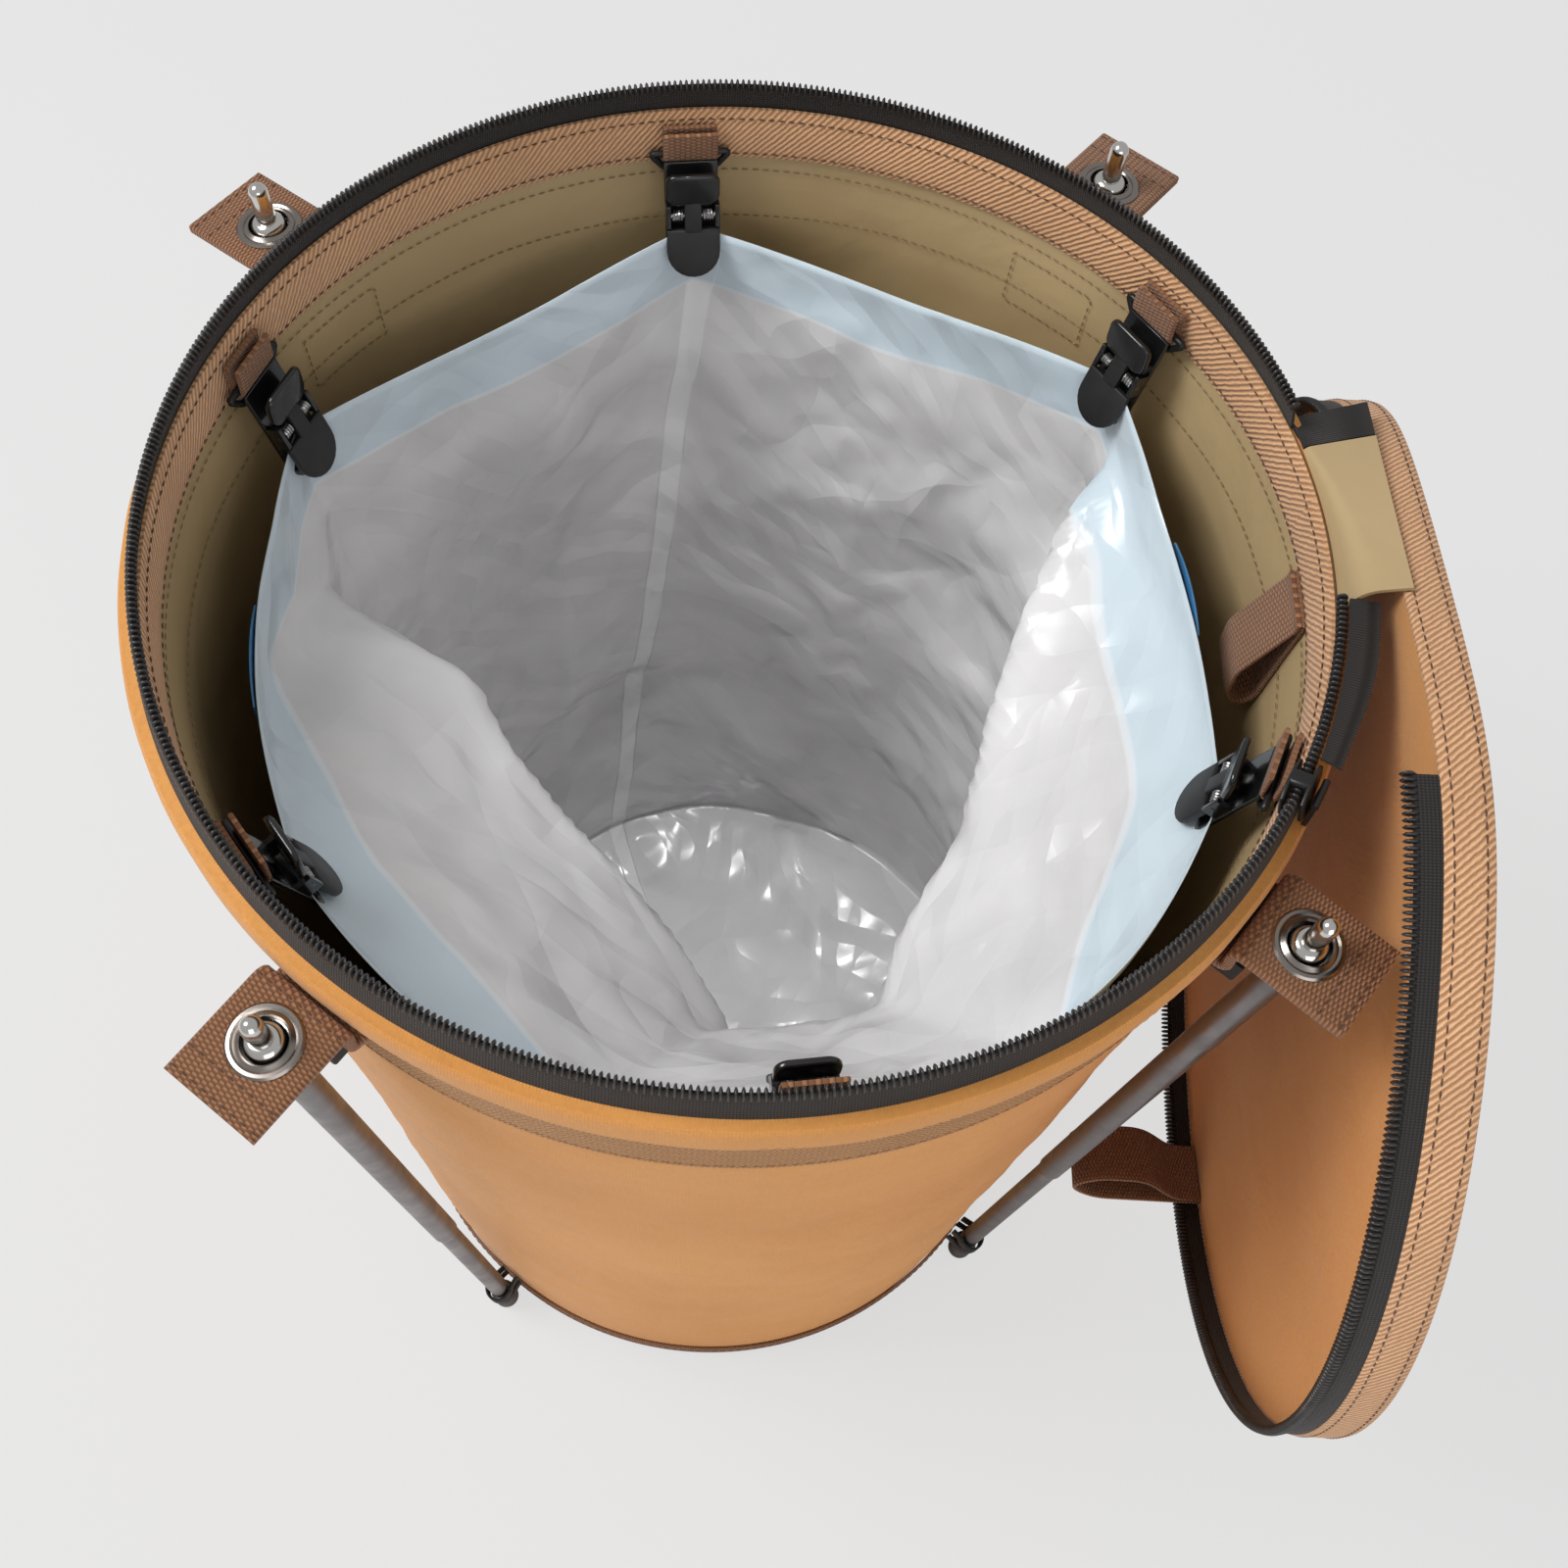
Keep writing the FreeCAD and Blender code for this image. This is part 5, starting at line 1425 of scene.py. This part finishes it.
def liner_bag():
    columns = 300
    depths = 150
    wall_share = 0.74
    length = 560.0
    stations = []
    for column in range(columns):
        azimuth = 360.0 * column / columns
        edge_r, edge_z = bag_edge(azimuth)
        station = []
        for n in range(depths + 1):
            share = n / depths
            if share < wall_share:
                down = share / wall_share
                z = blend_of(edge_z, bag_floor_z + 6, down)
                radius = blend_of(edge_r, bag_floor_radius + 6, smoothstep(down, 0.02, 0.5))
                radius = hung_in(radius - fold_depth(azimuth, z), azimuth, z)
            else:
                inwards = (share - wall_share) / (1 - wall_share)
                foot = hung_in(bag_floor_radius + 6 - fold_depth(azimuth, bag_floor_z), azimuth, bag_floor_z)
                radius = foot * (1 - inwards)
                z = bag_floor_z + 6
            spot = ring_point(radius, z, azimuth)
            loose = smoothstep(n * length / depths, 4.0, 60.0)
            height = crumple(spot) * blend_of(0.12, 1.0, loose)
            if share < wall_share:
                limit = wall_radius(z) - inside_offset - 3.2
                spot = ring_point(min(radius + height * smoothstep(share, 0.0, 0.02), limit), z, azimuth)
            else:
                spot.z += height * smoothstep(inwards, 0.0, 0.1)
            spot.z = max(spot.z, lining_floor_z + 1.6)
            station.append(spot)
        stations.append(station)
    along = [column * 2 * math.pi * bag_edge_radius / columns for column in range(columns + 1)]
    across = [length * n / depths for n in range(depths + 1)]
    bag = sweep("liner_bag", stations, along, across, True, False, None, 180.0)
    thicken(bag, bag_thickness)
    bag.data.set_sharp_from_angle(angle=math.pi)
    placed(bag, CAN, "liner_film", film, "liner")


def thicken(piece, thickness):
    modifier = piece.modifiers.new("Wall", "SOLIDIFY")
    modifier.thickness = thickness * MM
    modifier.offset = 0.0
    graph = bpy.context.evaluated_depsgraph_get()
    mesh = bpy.data.meshes.new_from_object(piece.evaluated_get(graph))
    piece.modifiers.clear()
    old = piece.data
    piece.data = mesh
    bpy.data.meshes.remove(old)


def drawstring():
    """Blue strip of the bag's hem, bared at its two notches."""
    section = [(0.9, 3.4), (1.5, 3.4), (1.9, -6.0), (1.3, -6.0)]
    parts = []
    for middle in (0.0, 180.0):
        stations = []
        azimuths = steps(middle - notch_half, middle + notch_half, 16)
        for azimuth in azimuths:
            radius, z = bag_edge(azimuth)
            end = abs(azimuth - middle) / notch_half
            drop = 2.0 + 3.0 * end ** 2
            stations.append([ring_point(radius + off, z - drop + up, azimuth) for off, up in section])
        along = [azimuth * 2.6 for azimuth in azimuths]
        parts.append(sweep("strip", stations, along, [0.0, 0.0, 9.0, 9.0]))
    placed(joined("blue_drawstring_strips", parts), CAN, "blue_drawstring", blue_film, "liner_drawstring")


# Lid

def lid_reach(angle, inset=0.0):
    """Distance from the lid's middle to its edge, in a direction counted from the hinge."""
    power = lid_corner_power
    straight = max(math.cos(angle), 0.0) / (lid_cut - inset)
    return ((1 / (lid_ring_radius - inset)) ** power + straight ** power) ** (-1 / power)


def lid_sway(x, y, share):
    """How far the lid's cloth stands off flat here. It is held at its edge, where share is 1."""
    broad = 1.3 * noise.noise(Vector((x / 70, y / 70, 5)))
    creased = 0.6 * noise.turbulence(Vector((x / 30, y / 30, 8)), 2, True)
    return (broad + creased - 0.4) * (1 - smoothstep(share, 0.8, 0.98))


def lid_sheet(name, inset, height, thickness, material, slot, node, lip=0.0):
    """One ply of the lid: a flat D-shaped sheet, its edge turned down by lip."""
    sides = 200
    rings_in = 34
    stations = []
    for k in range(sides):
        angle = 2 * math.pi * k / sides
        reach = lid_reach(angle, inset)
        station = []
        for n in range(rings_in + 1):
            radius = reach * n / rings_in
            x, y = radius * math.cos(angle), radius * math.sin(angle)
            station.append(Vector((x, y, height + lid_sway(x, y, n / rings_in))))
        if lip:
            for radius in (reach, reach - thickness):
                station.append(Vector((radius * math.cos(angle), radius * math.sin(angle), height - lip)))
        for n in (rings_in, rings_in * 3 // 4, rings_in // 2, rings_in // 4, 0):
            radius = (reach - (thickness if lip else 0.0)) * n / rings_in
            x, y = radius * math.cos(angle), radius * math.sin(angle)
            station.append(Vector((x, y, height - thickness + lid_sway(x, y, n / rings_in))))
        stations.append(station)
    piece = lid_mesh(name, stations, lid_place())
    placed(piece, "lid", slot, material, node)


def lid_mesh(name, stations, place):
    """Closed mesh through the stations, charted flat in the lid's own plane."""
    count = len(stations)
    width = len(stations[0])
    points = [point for station in stations for point in station]
    faces = []
    uvs = []
    for i in range(count):
        j = (i + 1) % count
        for k in range(width - 1):
            corners = (i * width + k, j * width + k, j * width + k + 1, i * width + k + 1)
            faces.append(corners)
            uvs.append(tuple((points[c].x, points[c].y) for c in corners))
    return new_piece(name, [place @ point for point in points], faces, uvs, 40.0)


def lid_edge_band(name, outline, material, slot, node, low=0.0, high=360.0, count=260):
    """A band round the lid's edge. Its outline is (inset, height) points."""
    closed = high - low >= 360.0
    angles = [math.radians(a) for a in (around(count) if closed else steps(low, high, count))]
    stations = []
    along = [0.0]
    for angle in angles:
        station = []
        for inset, height in outline:
            reach = lid_reach(angle, inset)
            station.append(Vector((reach * math.cos(angle), reach * math.sin(angle), height)))
        stations.append(station)
        along.append(along[-1] + 2 * math.pi * lid_ring_radius / count * (high - low) / 360.0)
    across = [height for inset, height in outline]
    piece = sweep(name, stations, along, across, closed, True, lid_place(), 50.0)
    placed(piece, "lid", slot, material, node)


def lid_line(azimuths, inset, height):
    """(point, side direction) pairs along the lid's edge, for a row of bars."""
    place = lid_place()
    line = []
    for azimuth in azimuths:
        angle = math.radians(azimuth)
        reach = lid_reach(angle, inset)
        spot = Vector((reach * math.cos(angle), reach * math.sin(angle), height))
        line.append((place @ spot, place.to_3x3() @ Vector((0, 0, 1))))
    return line


def lid_pieces():
    lid_sheet("lid_canvas_face", 1.9, -0.2, 1.2, canvas, "ochre_canvas", "lid_panel")
    lid_sheet("lid_khaki_lining", 2.0, -2.3, 0.9, lining, "tan_lining", "lid_lining", 11.0)
    outline = [(0.3, 0.0), (0.0, -0.8), (-0.1, -4.0), (-0.1, -9.0), (0.1, -12.4), (0.6, -lid_binding_height)]
    outline += [(1.3, -12.8), (1.5, -8.0), (1.5, -4.0), (1.3, 0.0)]
    lid_edge_band("lid_twill_binding", outline, brown_twill, "brown_twill", "lid_binding")
    start, end = lid_zip_start, 360.0 - lid_zip_start
    tape = [(0.5, 0.2), (0.5, 3.0), (0.8, 7.2), (1.7, 7.2), (1.4, 3.0), (1.4, 0.2)]
    lid_edge_band("lid_zip_tape_woven", tape, black_tape, "black_tape", "lid_zip_tape", start, end)
    line = lid_line(steps(start, end, 320), 1.2, lid_zip_height - coil_height / 2)
    teeth = bar_row("lid_zip_teeth", [line], tooth_pitch, (1.25, coil_height, coil_width), tooth_nylon)
    placed(teeth, "lid", "zip_coil", tooth_nylon, "lid_zip_coil")
    lines = [lid_line(around(320), -0.12, height) for height in (-2.4, -10.6)]
    row = bar_row("lid_binding_stitches", lines, 3.4, (2.5, 0.55, 0.4), brown_thread, True)
    placed(row, "lid", "brown_twill", brown_thread)


def lid_hand_loop():
    """Webbing loop on the lid's canvas face, at the end away from the hinge."""
    outer = lid_ring_radius - 3.4 - 1.5
    inner = outer - 1.75
    low = outer - 13.0
    foot = 10.25
    head = foot + 42.0
    points = [(outer, 0.3), (outer, head - 10.5), ((outer + low) / 2, head), (low, head - 10.5)]
    points += [(low, foot + 12.6), (inner, foot), (inner, 0.3)]
    path = rounded(points, 6.0, 5)
    place = lid_place() @ Matrix.Rotation(math.radians(182.0), 4, "Z")
    piece = strap("lid_webbing_loop", path, 25.0, 1.5, place, spans=8)
    placed(piece, "lid", "brown_webbing", brown_webbing, "lid_loop")


# Hinge side of the rim

def lid_edge_at(azimuth, lift, depth):
    """(radius, z) over the lid's straight edge at an azimuth, lifted off it and set back from its face."""
    place = lid_place()
    start = place @ Vector((lid_cut + lift, 0, -depth))
    side = place.to_3x3() @ Vector((0, 1, 0))
    angle = math.radians(azimuth)
    across = Vector((-math.sin(angle), math.cos(angle), 0))
    spot = start - side * (start.dot(across) / side.dot(across))
    return math.hypot(spot.x, spot.y), spot.z


def hinge_strip(name, low, high, thickness, material, node, waves=0.4):
    """Cloth from the rim over to the lid's straight edge, shaped for the lid as it hangs now."""
    foot_r = wall_top_radius - 0.9
    foot_z = wall_top_z + 0.6
    stations = []
    for azimuth in steps(low, high, 24):
        seat_r, seat_z = lid_edge_at(azimuth, 0.9, 2.0)
        crest = blend_of(foot_z, seat_z, 0.72) + waves * noise.noise(Vector((azimuth, 0, 0)))
        points = [(foot_r, foot_z), (foot_r + 1.2, crest), (seat_r, seat_z)]
        path = rounded(points, 8.0, 8)
        outer = []
        inner = []
        for n, point in enumerate(path):
            run = heading(path, n)
            off = Vector((-run[1], run[0])) * (thickness / 2)
            outer.append(ring_point(point[0] + off[0], point[1] + off[1], azimuth))
            inner.append(ring_point(point[0] - off[0], point[1] - off[1], azimuth))
        stations.append(outer + inner[::-1])
    along = [azimuth * 3.0 for azimuth in steps(low, high, 24)]
    half = len(stations[0]) // 2
    across = [float(n) for n in range(half)] + [float(half - 1 - n) for n in range(half)]
    piece = sweep(name, stations, along, across, False, True, None, 50.0)
    piece.data.materials.append(material)
    hinge_line(low, high, 0.0)
    hinge_line(low, high, 1.0)
    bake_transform(piece)
    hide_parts(node)


def hinge_line(low, high, share):
    """A point on the strip's way from the rim to the lid, in metres."""
    azimuth = (low + high) / 2
    seat_r, seat_z = lid_edge_at(azimuth, 0.9, 2.0)
    radius = blend_of(wall_top_radius, seat_r, share)
    z = blend_of(wall_top_z, seat_z, share)
    return ring_point(radius, z, azimuth) * MM


def joined_tape():
    """The closed stretch of the zip between the khaki strip and the slider."""
    coil_r, coil_z = on_zip(zip_length - coil_height / 2, coil_width / 2)
    near = coil_r + 0.2
    z = coil_z + 0.4

    def section(azimuth):
        width = blend_of(6.0, 8.6, smoothstep(azimuth, joined_tape_start, -20.0))
        far = near + width
        crest = (near + width / 2, z + 0.5)
        return [(near, z - 0.5), (far, z - 1.2), (far, z - 0.3), crest, (near, z + 0.4)]

    piece = ring_band("joined_tape_woven", section, steps(joined_tape_start, joined_tape_end, 40), False)
    placed(piece, CAN, "black_tape", black_tape, "joined_zip_tape")


def inner_loop():
    """Webbing loop sewn under the facing inside the can."""
    top = 418.7
    bottom = top - 46.0
    gap = inside_offset + 1.6
    spread = 9.4
    out_top = wall_radius(top) - gap
    out_bottom = wall_radius(bottom) - gap
    in_top = out_top - 1.65
    points = [(out_top, top), (out_bottom, bottom + spread / 2), (out_bottom - spread / 2, bottom)]
    points += [(out_bottom - spread, bottom + spread / 2), (out_bottom - spread, bottom + 2 * spread)]
    points += [(in_top, top - 2.8), (in_top, top)]
    place = upright_place(inner_loop_azimuth)
    piece = strap("inner_webbing_loop", rounded(points, 3.0, 5), 20.0, sling_thickness, place, spans=6)
    placed(piece, CAN, "brown_webbing", brown_webbing, "inner_loop")


# Slider and pull

def zip_slider():
    """Two lacquered plates over the coil, broad at the open end, joined by a ridge."""
    radius, z = on_zip(0, 0)
    foot = Matrix.Translation((radius, 0, z))
    place = upright_place(slider_azimuth) @ foot @ Matrix.Rotation(-zip_lean, 4, "Y")
    outline = [(y, zip_length - 10.6 + along) for y, along in slider_outline]
    near = coil_width / 2 + 0.4
    far = near + slider_plate
    plates = []
    for low, high in ((near, far), (-far, -near)):
        plates.append(plate("plate", outline, low, high, place, 0.45))
    bridge = rounded_rectangle(5.0, zip_length - 1.4, zip_length + 1.8, 1.2)
    plates.append(plate("bridge", bridge, -coil_width / 2 - 1.4, coil_width / 2 + 1.4, place, 0.5))
    placed(joined("lacquered_slider", plates), "slider", "black_metal", black_lacquer, "zip_slider")


def finish_nodes():
    """Inner pieces that keep their solids get their finish here."""
    finishes = {"base_board": board_plastic, "rim_hoop": spring_steel, "zip_pull": black_lacquer}
    for node, material in finishes.items():
        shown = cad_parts[node]
        shown.data.materials.clear()
        shown.data.materials.append(material)


# Stage, light and camera

def stage():
    bpy.ops.mesh.primitive_plane_add(size=8.0, location=(0, 0, 0))
    floor = bpy.context.object
    floor.name = "floor"
    made = Finish("pale_floor", roughness=0.9, specular=0.1)
    tint = made.cloudy(2.0, 1.0)
    tone = made.mixed(tint, srgb(230, 230, 230), srgb(231, 231, 231))
    made.colour(tone)
    seen = made.node("ShaderNodeLightPath").outputs["Is Camera Ray"]
    plain = made.node("ShaderNodeEmission")
    made.feed(plain.inputs["Color"], tone)
    backdrop = made.node("ShaderNodeMixShader")
    made.feed(backdrop.inputs[0], made.maths("MULTIPLY", seen, 0.8))
    made.feed(backdrop.inputs[1], made.shader.outputs["BSDF"])
    made.feed(backdrop.inputs[2], plain.outputs["Emission"])
    made.feed(made.output.inputs["Surface"], backdrop.outputs["Shader"])
    floor.data.materials.append(made.material)
    backdrop_sky()
    lamp("key", (-1.15, 0.15, 1.85), 0.8, 25.0)
    lamp("fill", (0.2, -1.8, 0.75), 1.3, 9.0)
    inside_glow()


def backdrop_sky():
    """Even white light all round, seen by the camera as the same pale grey as the floor."""
    world = bpy.data.worlds.new("studio")
    bpy.context.scene.world = world
    world.use_nodes = True
    tree = world.node_tree
    sky = tree.nodes["Background"]
    sky.inputs["Color"].default_value = (1.0, 1.0, 1.0, 1.0)
    seen = tree.nodes.new("ShaderNodeLightPath").outputs["Is Camera Ray"]
    strength = tree.nodes.new("ShaderNodeMapRange")
    strength.inputs["To Min"].default_value = 0.5
    strength.inputs["To Max"].default_value = 0.79
    tree.links.new(seen, strength.inputs["Value"])
    tree.links.new(strength.outputs["Result"], sky.inputs["Strength"])


def inside_glow():
    """A soft beam down into the bag, where thin film lets daylight through its sides."""
    data = bpy.data.lights.new("glow", "SPOT")
    data.energy = 36.0
    data.spot_size = math.radians(10.5)
    data.spot_blend = 1.0
    data.shadow_soft_size = 0.05
    in_scene("glow", data).location = (0.01, 0.04, 1.6)


def lamp(name, spot, size, power):
    data = bpy.data.lights.new(name, "AREA")
    data.size = size
    data.energy = power
    made = in_scene(name, data)
    made.location = spot
    aim = Vector((0, 0, 0.25)) - Vector(spot)
    made.rotation_euler = aim.to_track_quat("-Z", "Y").to_euler()


def camera():
    """The photograph's view: from above and a little in front."""
    right = Vector((0.99149838, -0.11830633, 0.05417174))
    up = Vector((0.08059862, 0.88523947, 0.45809928))
    ahead = Vector((0.102151, 0.44983852, -0.88724882))
    focal_share = 1933.9 / 1600
    data = bpy.data.cameras.new("camera")
    data.sensor_width = 36.0
    data.lens = focal_share * data.sensor_width
    made = in_scene("camera", data)
    turn = Matrix((right, up, -ahead)).transposed().to_4x4()
    turn.translation = Vector((-48.84, -299.83, 875.94)) * MM
    made.matrix_world = turn
    bpy.context.scene.camera = made
    bpy.context.scene.view_settings.view_transform = "Standard"


canvas_shell()
base_canvas()
lining_bag()
hem_sleeve()
webbing_band()
base_binding()
twill_facing()
lining_stitches()
body_zip()
for number, azimuth in pole_azimuths.items():
    pole_parts(number, azimuth)
    pole_tab(number, azimuth)
tab_stitches()
grommets()
foot_caps()
pole_keepers()
foot_loops()
for number, azimuth in clip_azimuths.items():
    clip_jaw(number, azimuth)
clip_backs()
clip_hardware()
clip_slings()
liner_bag()
drawstring()
lid_pieces()
lid_hand_loop()
hinge_strip("khaki_hinge_cloth", hinge_start, hinge_end, 1.2, lining, "hinge_panel")
hinge_strip("zip_end_bridge", bridge_start, bridge_end, 1.0, black_tape, "zip_end_stop", 0.0)
joined_tape()
inner_loop()
zip_slider()
finish_nodes()
stage()
camera()
